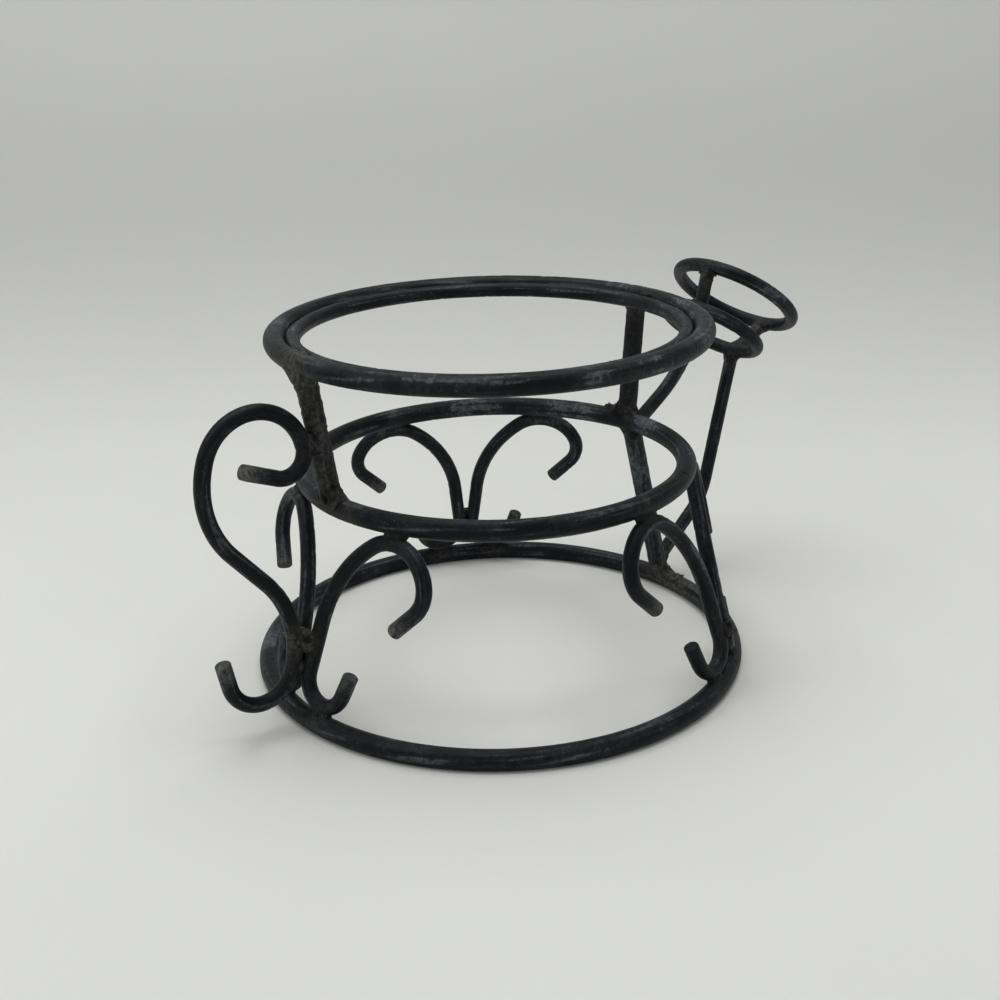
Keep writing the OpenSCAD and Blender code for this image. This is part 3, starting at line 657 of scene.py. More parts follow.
def make_piece(name, skins):
    """One mesh object from skins in mm, each (points, quads, tris, marks). Skins whose faces look
    inward are turned, and the object stays at the origin."""
    quads, tris, start = [], [], 0
    for points, q, t, _ in skins:
        if signed_volume(points - points.mean(0), q, t) < 0:
            q, t = q[:, ::-1], t[:, ::-1]
        quads.append(q + start)
        tris.append(t + start)
        start += len(points)
    points = np.concatenate([skin[0] for skin in skins]) * MM
    quads, tris = np.concatenate(quads), np.concatenate(tris)
    corners = np.concatenate([quads.ravel(), tris.ravel()]).astype(np.int32)
    starts = np.concatenate([np.arange(len(quads)) * 4, len(quads) * 4 + np.arange(len(tris)) * 3])
    mesh = bpy.data.meshes.new(name)
    mesh.vertices.add(len(points))
    mesh.vertices.foreach_set("co", points.astype(np.float32).ravel())
    mesh.loops.add(len(corners))
    mesh.loops.foreach_set("vertex_index", corners)
    mesh.polygons.add(len(starts))
    mesh.polygons.foreach_set("loop_start", starts.astype(np.int32))
    mesh.polygons.foreach_set("use_smooth", np.ones(len(starts), bool))
    mesh.update(calc_edges=True)
    for mark in MARKS:
        values = np.concatenate([skin[3][mark] for skin in skins])
        mesh.attributes.new(mark, "FLOAT", "POINT").data.foreach_set("value", values.astype(np.float32))
    piece = bpy.data.objects.new(name, mesh)
    bpy.context.scene.collection.objects.link(piece)
    return piece


print("marks on every point:", MARKS)

# %% [markdown]
# ## Marks by place
#
# The real stand isn't evenly dirty. Dust lies on the level rings in patches, the curled tips are
# rubbed pale, and the upright on the handle side is crusted from top to bottom. A painter would
# mask these by hand. The marks below say so by place, and the paint reads them later.

# %% Marked places
# Dusty, clean and rusty places are (place, reach, strength), pinholes (place, reach, depth), and
# tip wear is how pale the start and the end of a rod are rubbed.
CRUSTED = {
    "weld": 1.0,
    "upright_handle_side": 0.8,
    "upright_spout_side": 0.35,
    "leg_upright_spout_side": 0.3,
}
DUSTY_PLACES = [
    ((-53, 28, 65), 8, 1.0), ((4, 60, 65), 6, 0.7), ((31, 51, 65), 10, 0.8), ((53, 28, 65), 9, 0.7),
    ((56, -10, 67), 8, 1.0), ((58, 16, 67), 7, 0.8), ((62, -3, 50), 12, 0.6), ((43, -42, 65), 8, 0.4),
    ((-59, -8, 65), 4, 0.5), ((4, -60, 65), 4, 0.5), ((-57, -20, 60), 5, 0.7), ((-46, 26, 48), 9, 0.9),
    ((-49, 46, 108), 8, 0.8), ((-49, 37, 108), 6, 0.7), ((-66, -9, 106), 4, 0.6), ((-62, -24, 106), 7, 0.6),
    ((-55, -36, 108), 7, 0.8), ((58, -27, 108), 8, 0.9), ((51, -40, 108), 8, 0.7),
    ((28, -58, 108), 10, 0.6), ((4, -65, 108), 5, 0.7), ((-20, -63, 108), 5, 0.4),
    ((24, -62, 46), 5, 0.5), ((27, -63, 39), 4, 0.4),
    ((-60, 47, 3), 10, 0.8), ((-75, 12, 3), 7, 0.7), ((-4, -76, 3), 4, 0.4), ((-15, -75, 3), 4, 0.4),
    ((60, -47, 3), 9, 0.5), ((28, -70, 9), 4, 0.6), ((112, -19, 104), 7, 0.5), ((65, 8, 108), 6, 0.6),
]
CLEAN_PLACES = [
    ((-8, 59, 65), 6, 1.0), ((-23, 55, 65), 9, 1.0), ((-56, -20, 65), 6, 0.9),
    ((-65, -14, 108), 4, 1.0), ((58, 4, 68), 6, 1.2), ((59, -3, 61), 3.5, 1.3), ((51, -26, 67), 4.5, 1.2),
    ((-30, -52, 65), 9, 0.6), ((-72, -25, 3), 9, 0.6), ((30, -69, 3), 9, 0.6), ((-35, -55, 108), 7, 0.7),
]
RUSTY_PLACES = [
    ((-76, 2, 27), 4.5, 0.9), ((76, -8, 3), 5, 0.9), ((74, -15, 3), 5, 0.7), ((-66, 6, 108), 6, 0.8),
    ((-59, -8, 65), 4, 0.6),
]
CHIPS = [
    (-67.1, -6.5, 110.5), (-66.8, -8.0, 110.2), (-60.5, -28, 109.6), (-59, -31, 110), (-40, -53.5, 106.3),
    (58, -35, 109.3), (4, -61.5, 67.2), (-3, -61, 67), (30, -60, 106),
]
PINHOLES = [
    ((-63.1, 1.7, 68.5), 1.5, 2.2), ((-62.3, 6.2, 67.7), 0.8, 1.4), ((-74.5, -0.8, 27.9), 0.9, 1.2),
    ((-68.9, 1.5, 85.2), 0.8, 0.6), ((-64.3, 4.7, 76.8), 0.7, 0.5), ((34.6, -68.3, 20.3), 0.8, 1.0),
    ((40.5, -65.0, 8.5), 1.1, 1.4), ((28.9, -70.3, 11.0), 0.5, 0.4), ((58, 3, 67.5), 1.5, 1.8),
    ((120, 2, 81.5), 0.6, 0.8), ((117.5, -2, 79.5), 0.5, 0.7),
]
TIP_WEAR = {
    "handle_scroll": (1.0, 0.7),
    "leg_scroll_back_right": (0.2, 1.0),
    "leg_scroll_handle_right": (0.4, 0.9),
    "leg_scroll_handle_left": (0.3, 0.5),
    "leg_scroll_front_left": (0.05, 0.7),
}
PLAIN_WEAR = (0.15, 0.3)
WEAR_REACH, GRIT_REACH, CHIP_REACH = 5, 6.5, 0.8
print("dusty places:", len(DUSTY_PLACES), "pinholes:", len(PINHOLES))


# %% Marks
def nearness(points, place, reach):
    """1 at the place, falling as exp(-(distance / reach) squared)."""
    return np.exp(-(np.linalg.norm(points - np.array(place), axis=-1) ** 2) / reach**2)


def strongest(points, places):
    """The strongest of the marks (place, reach, strength) at each point."""
    fields = [strength * nearness(points, place, reach) for place, reach, strength in places]
    return np.max(fields, axis=0)


def crisp_nearness(points, place, reach):
    """1 at the place, falling as exp(-(distance / reach)^4), so that the rim is crisp."""
    return np.exp(-((np.linalg.norm(points - np.array(place), axis=-1) / reach) ** 4))


def pinhole_depth(points):
    """How deep the pinholes go at each point, in mm."""
    holes = [depth * crisp_nearness(points, place, reach) for place, reach, depth in PINHOLES]
    return np.max(holes, axis=0)


def pinhole_mark(points):
    """1 in a pinhole, down to its bottom, and 0 away from them."""
    holes = [crisp_nearness(points, place, math.hypot(reach, depth)) for place, reach, depth in PINHOLES]
    return np.max(holes, axis=0)


def marks_at(points, wear, name):
    """Dust, grit, wear and pinholes at each point of a skin. Dust runs from -1, wiped clean, over
    0, as it falls, to 1, a thick patch; the others run from 0 to 1, and grit keeps off clean places."""
    clean = strongest(points, CLEAN_PLACES)
    rusty = strongest(points, RUSTY_PLACES)
    near_weld = np.max([nearness(points, place, GRIT_REACH) for place in weld_places], axis=0)
    grit = np.clip(np.maximum(near_weld, CRUSTED.get(name, 0)) - clean, 0, 1)
    chipped = np.max([nearness(points, place, CHIP_REACH) for place in CHIPS], axis=0)
    return {
        "dust": strongest(points, DUSTY_PLACES) - clean,
        "grit": np.maximum(grit, rusty),
        "rusty": rusty,
        "worn": np.maximum(wear, chipped),
        "pit": pinhole_mark(points),
        "streak": np.zeros_like(clean),
    }


print("grit at the first weld:", marks_at(weld_places[:1], 0, "weld")["grit"])

# %% [markdown]
# ## The skin of a rod
#
# Near a cut end the circle shrinks as a quarter turn, which rounds the edge over, and a middle
# point closes the face. Then every point moves along its spoke by the lumps, a little more where
# a weld left its crust.

# %% Rod ends and scuffs
EDGE = 0.45
FACE_INSETS = (0.22, 0.36)
EDGE_CLEAR = EDGE + 0.2
STREAK_LENGTH, STREAK_TURNS = 11, 2.6


def rod_line(pieces, start, d):
    """Centre line of an open rod with its end rows: (points in the plane, runs, inset, distance
    from the start, distance from the end). The end rows lie EDGE * (1 - sin a) from the end, inset by
    EDGE * (1 - cos a), and the last of them go in towards the middle."""
    flat, lengths = route(pieces, start)
    run = np.gradient(flat, axis=0)
    run /= np.linalg.norm(run, axis=1, keepdims=True)
    turns = np.radians([0, 30, 60, 90])
    back = np.concatenate([EDGE * (1 - np.sin(turns)), np.zeros(len(FACE_INSETS))])
    inset = np.concatenate([EDGE * (1 - np.cos(turns)), d * np.array(FACE_INSETS)])
    keep = (lengths > EDGE_CLEAR) & (lengths < lengths[-1] - EDGE_CLEAR)
    rows = len(back)
    head = flat[0] + run[0] * back[::-1, None]
    tail = flat[-1] - run[-1] * back[:, None]
    line = np.concatenate([head, flat[keep], tail])
    runs = np.concatenate([np.repeat(run[:1], rows, 0), run[keep], np.repeat(run[-1:], rows, 0)])
    insets = np.concatenate([inset[::-1], np.zeros(keep.sum()), inset])
    done = np.concatenate([np.zeros(rows), lengths[keep], np.full(rows, lengths[-1])])
    return line, runs, insets, done, lengths[-1] - done


def streaks(points, count):
    """Scuffs and painted highlight lines that run along a rod: noise read at point / length, which
    changes slowly along, plus turns * (cos a, sin a, cos 2a), which changes fast round the rod and
    closes on itself."""
    a = np.linspace(0, 2 * np.pi, count, endpoint=False)
    round_it = STREAK_TURNS * np.stack([np.cos(a), np.sin(a), np.cos(2 * a)], -1)
    return unevenness(points / STREAK_LENGTH + round_it, 1.0)


print("rows that round a cut end over:", len(FACE_INSETS) + 4)

# %% Rod skin
CRUSTED_ROUGH, PLAIN_ROUGH = 0.9, 0.3
FACE_CALM = 0.2


def rod_skin(name, plane, d, pieces=None, start=None, circle=None):
    """The skin of one rod, (points, quads, tris, marks).

    The line lies in the plane, so the plane's normal and the direction square to the run carry
    the circle along with no twist. Wear is exp(-(distance / reach)^2) from each cut end, and the
    lumps fade where the inset of an end comes to a fifth of the rod.
    """
    closed = circle is not None
    if closed:
        line, _ = circle_route(circle)
        runs = np.roll(line, -1, 0) - np.roll(line, 1, 0)
        runs /= np.linalg.norm(runs, axis=1, keepdims=True)
        inset, wear = np.zeros(len(line)), np.zeros(len(line))
    else:
        line, runs, inset, done, left = rod_line(pieces, start, d)
        start_wear, end_wear = TIP_WEAR.get(name, PLAIN_WEAR)
        wear = start_wear * np.exp(-((done / WEAR_REACH) ** 2))
        wear += end_wear * np.exp(-((left / WEAR_REACH) ** 2))
    _, first, second = plane
    sideways = runs[:, 1:] * first - runs[:, :1] * second
    count = int(round(np.pi * d / STEP))
    radius = np.repeat((d / 2 - inset)[:, None], count, 1)
    points, spokes = carried_circle(on_plane(plane, line), sideways, np.cross(first, second), radius)
    marks = marks_at(points, wear[:, None], name)
    marks["streak"] = streaks(points, count)
    rough = marks["grit"] * (CRUSTED_ROUGH if name in CRUSTED else PLAIN_ROUGH)
    calm = np.clip(1 - inset / (FACE_CALM * d), 0, 1)[:, None]
    push = (lumps(points, rough) - pinhole_depth(points)) * calm
    points = points + push[:, :, None] * spokes
    if name == "base_ring":
        points[..., 2] = np.maximum(points[..., 2], 0)
    rows = len(points)
    grid = points.reshape(-1, 3)
    marks = {mark: values.ravel() for mark, values in marks.items()}
    if closed:
        return grid, grid_faces(rows, count, True), NO_TRIS, marks
    grid = np.concatenate([grid, [points[0].mean(0), points[-1].mean(0)]])
    marks = {mark: np.append(values, values[[0, -1]]) for mark, values in marks.items()}
    return grid, grid_faces(rows, count, False), end_faces(rows, count), marks


pieces_made = {}
for name, rod in rods.items():
    pieces_made[name] = make_piece(name, [rod_skin(name, **rod)])
faces_made = sum(len(piece.data.polygons) for piece in pieces_made.values())
print("rods skinned:", len(pieces_made), "faces:", faces_made)

# %% [markdown]
# ## Weld metal
#
# A weld was liquid: it fills the groove between two rods, swells a little, and freezes in ripples
# with bubbles and spatter. Two shapes cover all of them. A bead is a ball stretched along the
# groove. A collar is a ring round a rod that ends on another, which drapes over the rod it sits on.

# %% Weld metal's lumps
SWELL, SMALL_SWELL, SPATTER, BUBBLE = 0.8, 0.3, 0.9, 0.7
BUBBLE_SIZE, BUBBLE_FIELD = 1.5, 70


def weld_lumps(points):
    """How far weld metal moves out, in mm: swellings, grains, sharp spatter, and bubbles that go in."""
    swell = SWELL * (unevenness(points, 2.3, 30) - 0.5) + SMALL_SWELL * (unevenness(points, 0.9, 60) - 0.5)
    spatter = SPATTER * soft_step(unevenness(points, 0.9, 10), 0.76, 1.0)
    bubbles = BUBBLE * soft_step(unevenness(points, BUBBLE_SIZE, BUBBLE_FIELD), 0.8, 0.92)
    return swell + spatter - bubbles - pinhole_depth(points)


def weld_marks(points):
    """The marks on weld metal: crusted like the worst rods, with pits where the bubbles are, which the
    paint darkens as painted shade.
    """
    marks = marks_at(points, 0, "weld")
    bubbles = soft_step(unevenness(points, BUBBLE_SIZE, BUBBLE_FIELD), 0.78, 0.9)
    return marks | {"pit": np.maximum(marks["pit"], bubbles)}


print("lump on one point:", round(float(weld_lumps(np.array([1.0, 2.0, 3.0]))), 3), "mm")

# %% Beads
BEAD_ROWS, BEAD_COLUMNS = 34, 48
WAIST, WAIST_FLARE = 0.76, 0.4
RIPPLE, RIPPLE_LENGTH, RIPPLE_BOW = 0.10, 1.3, 2.5


def bead_skin(centre, run, through, half):
    """A stretched ball with ripples across it, pinched where it stands free between the rods.

    A point at the turn u from the run's end and v round it lies at
    (half 1 * cos u, half 2 * sin u * cos v, half 3 * sin u * sin v), the first two times the
    waist, and moves out by the lumps and by a ripple, a sine of its place along the run that
    bows towards the sides.
    """
    u = np.linspace(0, np.pi, BEAD_ROWS + 2)[1:-1][:, None]
    v = np.linspace(0, 2 * np.pi, BEAD_COLUMNS, endpoint=False)[None, :]
    unit = np.stack([np.cos(u) + 0 * v, np.sin(u) * np.cos(v), np.sin(u) * np.sin(v)], -1)
    axes = np.array([run, np.cross(through, run), through])
    waist = WAIST + WAIST_FLARE * unit[..., 2:] ** 2
    pinch = np.concatenate([waist, waist, np.ones_like(waist)], -1)
    points = centre + (unit * np.array(half) * pinch) @ axes
    turns = unit[..., 0] * half[0] / RIPPLE_LENGTH
    ripple = RIPPLE * np.sin(2 * np.pi * turns + RIPPLE_BOW * unit[..., 1] ** 2)
    points = points + (weld_lumps(points) + ripple)[..., None] * (unit @ axes)
    grid = np.concatenate([points.reshape(-1, 3), [points[0].mean(0), points[-1].mean(0)]])
    faces = grid_faces(BEAD_ROWS, BEAD_COLUMNS, False), end_faces(BEAD_ROWS, BEAD_COLUMNS)
    return grid, *faces, weld_marks(grid)


print("points in a bead:", BEAD_ROWS * BEAD_COLUMNS + 2)

# %% Collars
COLLAR_ROWS, COLLAR_COLUMNS = 18, 84
SUNK, PUFF = 0.12, 0.3
HOST_SIDE, HOST_EDGE = 0.96, 0.98
RAGGED, RAGGED_SPAN, RAGGED_AT = 0.55, 0.9, 1.6
SIDE_WIDTH = 0.35
HOLLOW, SPREADING = 1.6, 1.25
LUMP_SHARE = 0.8
CORE, CORE_DROP, CORE_TOP = 0.55, 1.0, 0.7


def collar_skin(centre, leave, host, r, reach, rise, flare):
    """A collar round a rod that leaves the side of another as thick, closed through the inside of
    both.

    At the turn a round the leaving rod, the carrying rod's surface lies sqrt(r^2 - (p sin a)^2)
    above its middle, p being the distance from the leaving rod's middle. The outer face runs
    from the leaving rod down to that surface, hollow as a power of 1 - t and puffed by
    sin(pi t), and keeps within the width of the carrying rod. Its width and its top are ragged
    with the noise on a circle round the leaving rod. The core inside closes it.
    """
    a = np.linspace(0, 2 * np.pi, COLLAR_COLUMNS, endpoint=False)[None, :]
    t = np.linspace(0, 1, COLLAR_ROWS)[:, None]
    across = np.cross(leave, host)
    spoke = np.cos(a)[..., None] * host + np.sin(a)[..., None] * across
    ring = centre + spoke * r * RAGGED_AT
    ragged = RAGGED + RAGGED_SPAN * unevenness(ring, 1.9)
    ragged_top = RAGGED + RAGGED_SPAN * unevenness(ring, 1.6, 40)
    lopsided = abs(flare) * np.clip(np.cos(a) * np.sign(flare), 0, 1) ** 2
    width = reach * (SIDE_WIDTH + (1 - SIDE_WIDTH) * np.cos(a) ** 2) * ragged + lopsided
    p = r - SUNK + (width + SUNK) * t**SPREADING

    def surface(p):
        """The carrying rod's surface at the distance p, less steep at its very sides."""
        return np.sqrt(r**2 - np.minimum(np.abs(p * np.sin(a)), HOST_SIDE * r) ** 2)

    top = r + rise * ragged_top + lopsided
    share = (1 - t) ** HOLLOW
    height = share * top + (1 - share) * surface(p) + PUFF * np.sin(np.pi * t)
    aside = np.clip(p * np.sin(a), -HOST_EDGE * r, HOST_EDGE * r)
    outer = centre + (p * np.cos(a))[..., None] * host + aside[..., None] * across
    outer = outer + height[..., None] * leave
    slant = 0.8 * spoke + 0.6 * leave
    fade = np.sin(np.pi * np.clip(t, 0.06, 0.94)) ** 0.5
    outer = outer + (LUMP_SHARE * weld_lumps(outer) * fade)[..., None] * slant
    core = centre + CORE * r * spoke
    under = core + (surface(p[-1:]) - CORE_DROP)[..., None] * leave
    within = core + (top - CORE_TOP)[..., None] * leave
    grid = np.concatenate([outer, under, within])
    points = grid.reshape(-1, 3)
    return points, grid_faces(len(grid), COLLAR_COLUMNS, True), NO_TRIS, weld_marks(points)


print("points in a collar:", (COLLAR_ROWS + 2) * COLLAR_COLUMNS)

# %% Weld pieces
for group in sorted(set(beads) | set(collars)):
    skins = [bead_skin(*bead) for bead in beads.get(group, [])]
    skins += [collar_skin(*collar) for collar in collars.get(group, [])]
    pieces_made[group] = make_piece(group, skins)
print("pieces with the welds:", len(pieces_made))

# %% [markdown]
# ## Paint
#
# The finish is black paint over steel, dulled by use: blue-grey dust in patches and on whatever
# faces up, brown grit by the welds, pale rubbed tips, fine specks. The lighter tone on faces that
# look up is partly painted light from above, the scuff marks along the rods are partly painted
# highlight lines, and the pinholes and bubbles are painted near black as painted shade. An image
# texture could hold all that for one view. Noise in the object's own space holds it from every
# side, and the marks place it.

# %% Node helpers
def add_node(tree, kind, settings=None, inputs=None):
    """A new node with the given settings and socket values."""
    node = tree.nodes.new(kind)
    for key, value in (settings or {}).items():
        setattr(node, key, value)
    for key, value in (inputs or {}).items():
        node.inputs[key].default_value = value
    return node


def noise(tree, place, scale, detail=4.0, roughness=0.6):
    """A noise value in object space."""
    values = {"Scale": scale, "Detail": detail, "Roughness": roughness}
    node = add_node(tree, "ShaderNodeTexNoise", None, values)
    tree.links.new(place, node.inputs["Vector"])
    return node.outputs["Fac"]


def between(tree, value, low, high):
    """The value stretched so that low gives 0 and high gives 1, held at both, with soft ends."""
    ends = {"From Min": low, "From Max": high}
    node = add_node(tree, "ShaderNodeMapRange", {"interpolation_type": "SMOOTHSTEP"}, ends)
    tree.links.new(value, node.inputs["Value"])
    return node.outputs["Result"]


def math_node(tree, operation, a, b):
    """Two values, each a socket or a number, joined by a Math node and held between 0 and 1."""
    node = add_node(tree, "ShaderNodeMath", {"operation": operation, "use_clamp": True})
    for socket, value in zip(node.inputs, (a, b)):
        if isinstance(value, (int, float)):
            socket.default_value = value
        else:
            tree.links.new(value, socket)
    return node.outputs[0]


def times(tree, a, b):
    """a * b, held between 0 and 1."""
    return math_node(tree, "MULTIPLY", a, b)


def plus(tree, a, b):
    """a + b, held between 0 and 1."""
    return math_node(tree, "ADD", a, b)


def weighted(tree, *pairs):
    """The sum of value * weight over all pairs, not held."""
    total = None
    for value, weight in pairs:
        node = add_node(tree, "ShaderNodeMath", {"operation": "MULTIPLY_ADD"})
        tree.links.new(value, node.inputs[0])
        node.inputs[1].default_value = weight
        if total is None:
            node.inputs[2].default_value = 0.0
        else:
            tree.links.new(total, node.inputs[2])
        total = node.outputs[0]
    return total


def tint(tree, base, colour, amount):
    """The base colour mixed towards another by an amount."""
    node = add_node(tree, "ShaderNodeMix", {"data_type": "RGBA"})
    for socket, value in ((node.inputs[6], base), (node.inputs[7], colour)):
        if isinstance(value, tuple):
            socket.default_value = (*value, 1.0)
        else:
            tree.links.new(value, socket)
    tree.links.new(amount, node.inputs[0])
    return node.outputs[2]


def mark(tree, name):
    """The mark that a skin carries under this name."""
    return add_node(tree, "ShaderNodeAttribute", {"attribute_name": name}).outputs["Fac"]


print("node helpers ready")

# %% Paint colours and grain
BLACK = (0.0040, 0.0050, 0.0065)
# Haze and film come on more where faces look up, which is partly painted light from above.
HAZE = (0.026, 0.031, 0.037)
FILM = (0.040, 0.046, 0.053)
# The dust colour also paints the scuff marks, which stand partly for highlight lines along the rods.
DUST_AND_HIGHLIGHT = (0.130, 0.140, 0.144)
GRIT = (0.024, 0.025, 0.024)
RUST = (0.105, 0.098, 0.080)
PALE = (0.230, 0.235, 0.215)
# The next colour is painted shade: it darkens the inside of pinholes and weld bubbles.
PIT_SHADE = (0.0012, 0.0012, 0.0012)
COARSE, FINE, MOTTLE, SPECKS, PAINT_GRAIN, CRUST_GRAIN = 85.0, 420.0, 620.0, 1700.0, 1300.0, 480.0
PAINT_SPECULAR = 0.13
DULL, DULLEST = 0.45, 0.85
print("size of the coarse dust patches:", round(1000 / COARSE, 1), "mm")


# %% Painted iron
def painted_iron(name, shift, dusty, gritty, brown):
    """Black paint under a thin haze, a dusty film in patches with sharp edges, grit, wear and specks.
    Haze and film come on more on faces that look up, partly as dust and partly as painted light
    from above. Scuff marks along the rods are partly painted highlight lines, and pinholes and
    bubbles are painted near black as painted shade.

    shift moves the patterns so that no two pieces are alike; dusty is how much film lies all
    over, gritty how strongly the weld grit shows, and brown how rusty that grit is.
    """
    material = bpy.data.materials.new(name)
    material.use_nodes = True
    tree = material.node_tree
    shader = tree.nodes["Principled BSDF"]
    shader.inputs["Metallic"].default_value = 0.0
    shader.inputs["Specular IOR Level"].default_value = PAINT_SPECULAR
    coordinates = add_node(tree, "ShaderNodeTexCoord").outputs["Object"]
    moved = add_node(tree, "ShaderNodeMapping", None, {"Location": shift})
    tree.links.new(coordinates, moved.inputs["Vector"])
    place = moved.outputs["Vector"]

    coarse = noise(tree, place, COARSE, 6.0, 0.66)
    fine = noise(tree, place, FINE, 6.0, 0.78)
    mottle = between(tree, noise(tree, place, MOTTLE, 5.0, 0.75), 0.34, 0.68)
    specks = between(tree, noise(tree, place, SPECKS, 2.0, 0.5), 0.68, 0.75)
    grain = noise(tree, place, PAINT_GRAIN, 3.0, 0.75)
    crust = between(tree, noise(tree, place, CRUST_GRAIN, 6.0, 0.8), 0.40, 0.60)
    streak = mark(tree, "streak")
    # The normal's height lightens faces that look up: partly dust that settles there, partly painted light
    # from above.
    facing = add_node(tree, "ShaderNodeSeparateXYZ")
    tree.links.new(add_node(tree, "ShaderNodeNewGeometry").outputs["Normal"], facing.inputs[0])

    dust_mark = mark(tree, "dust")
    dust_and_top_light = weighted(
        tree, (coarse, 0.6), (fine, 0.6), (streak, 0.42), (dust_mark, 0.27), (facing.outputs["Z"], 0.05)
    )
    edge = 1.01 - 0.15 * dusty
    patchy = plus(tree, times(tree, mottle, 0.6), 0.3)
    # Haze and film follow that mask, so both carry painted light on faces that look up as well as dust.
    haze = times(tree, between(tree, dust_and_top_light, edge - 0.26, edge + 0.04), patchy)
    film = between(tree, dust_and_top_light, edge, edge + 0.07)
    thick = between(tree, weighted(tree, (coarse, 0.5), (fine, 0.9), (dust_mark, 0.40)), 0.72, 1.02)
    crusty = plus(tree, times(tree, crust, 0.85), 0.08)
    grit = times(tree, times(tree, mark(tree, "grit"), gritty), crusty)
    rust = times(tree, plus(tree, times(tree, grit, brown), mark(tree, "rusty")), mottle)
    worn = times(tree, mark(tree, "worn"), plus(tree, times(tree, mottle, 0.85), 0.1))
    # Partly painted highlight: these light scuff lines stand for scratches and also for thin highlight
    # lines along the rods.
    scuffs_and_highlights = times(tree, between(tree, streak, 0.70, 0.80), times(tree, mottle, 0.5))
    chips = times(tree, specks, between(tree, coarse, 0.46, 0.60))

    colour = tint(tree, BLACK, HAZE, haze)
    colour = tint(tree, colour, tint(tree, FILM, DUST_AND_HIGHLIGHT, times(tree, thick, mottle)), film)
    colour = tint(tree, colour, DUST_AND_HIGHLIGHT, scuffs_and_highlights)
    colour = tint(tree, colour, GRIT, grit)
    colour = tint(tree, colour, RUST, rust)
    colour = tint(tree, colour, PALE, times(tree, worn, 0.75))
    colour = tint(tree, colour, PALE, times(tree, chips, 0.5))
    # Painted shade: pinholes and bubbles are coloured near black, as if shadowed inside.
    colour = tint(tree, colour, PIT_SHADE, mark(tree, "pit"))
    tree.links.new(colour, shader.inputs["Base Color"])

    rough = add_node(tree, "ShaderNodeMapRange", None, {"To Min": DULL, "To Max": DULLEST})
    tree.links.new(plus(tree, plus(tree, film, grit), worn), rough.inputs["Value"])
    tree.links.new(rough.outputs["Result"], shader.inputs["Roughness"])
    bump = add_node(tree, "ShaderNodeBump", None, {"Strength": 0.5, "Distance": 0.0002})
    tree.links.new(plus(tree, times(tree, grain, 0.5), times(tree, film, 0.3)), bump.inputs["Height"])
    tree.links.new(bump.outputs["Normal"], shader.inputs["Normal"])
    return material


print("paint colours:", BLACK, FILM, DUST_AND_HIGHLIGHT)

# %% [markdown]
# ## One finish for each piece
#
# Each piece gets paint of its own: the same layers, moved to another part of the noise and set to
# how clean, gritty or rusty that piece is. One material for all would repeat its patches.

# %% Dress the pieces
# Each piece's slot, and how dusty, gritty and brown its paint is.
FINISHES = {
    "base_ring": ("rod", 0.45, 0.8, 0.5),
    "mid_ring": ("rod", 0.45, 0.7, 0.3),
    "rim_ring_outer": ("rod", 0.40, 0.7, 0.4),
    "rim_ring_inner": ("rod", 0.15, 0.5, 0.2),
    "upright_handle_side": ("worn_rod", 0.40, 1.0, 0.8),
    "upright_spout_side": ("rod", 0.35, 0.9, 0.4),
    "leg_upright_spout_side": ("rod", 1.0, 0.6, 0.3),
    "leg_scroll_handle_left": ("worn_rod", 0.50, 0.6, 0.3),
    "leg_scroll_handle_right": ("worn_rod", 0.40, 0.5, 0.2),
    "leg_scroll_front_left": ("rod", 0.20, 0.5, 0.2),
    "leg_scroll_front_right": ("rod", 0.20, 0.5, 0.2),
    "leg_scroll_back_left": ("rod", 0.60, 0.6, 0.3),
    "leg_scroll_back_right": ("rod", 0.60, 0.6, 0.3),
    "handle_scroll": ("worn_rod", 0.05, 0.6, 0.3),
    "spout_rod_upper": ("rod", 0.50, 0.7, 0.4),
    "spout_rod_lower": ("rod", 0.45, 0.7, 0.4),
    "spout_ring_large": ("rod", 0.45, 0.6, 0.4),
    "spout_ring_small": ("rod", 0.45, 0.6, 0.4),
    "spout_ring_strut": ("rod", 0.50, 0.8, 0.5),
    "welds_rim_rings": ("weld", 0.5, 0.7, 0.4),
    "welds_upright_ends": ("weld", 0.4, 1.0, 0.8),
    "welds_leg_arches": ("weld", 0.5, 0.6, 0.3),
    "welds_leg_feet": ("weld", 0.5, 0.7, 0.4),
    "welds_leg_pairs": ("weld", 0.4, 0.9, 0.6),
    "welds_handle": ("weld", 0.4, 1.0, 0.7),
    "welds_spout_feet": ("weld", 0.4, 0.8, 0.6),
    "welds_spout_rings": ("weld", 0.5, 0.8, 0.5),
}
PATTERN_STEP = (0.137, 0.071, 0.053)
for number, (name, (slot, dusty, gritty, brown)) in enumerate(FINISHES.items()):
    piece = pieces_made[name]
    shift = tuple(number * step for step in PATTERN_STEP)
    piece.data.materials.append(painted_iron(name + "_paint", shift, dusty, gritty, brown))
    piece.name = name + "_skin"
    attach(piece, "root")
    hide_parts(name)
print("finished pieces:", len(FINISHES))

# %% [markdown]
# ## The room
#
# The stand was photographed on pale paper that rises behind it. A sheet with a long bend gives
# the same even ground: floor in front, wall behind, no line between.

# %% Paper
BEND, DEPTH, HALF_WIDTH, WALL_TOP = 0.35, 4.0, 5.0, 6.0
FLOOR_END = 0.36
FLOOR_ROWS, BEND_ROWS, COLUMNS = 160, 24, 5


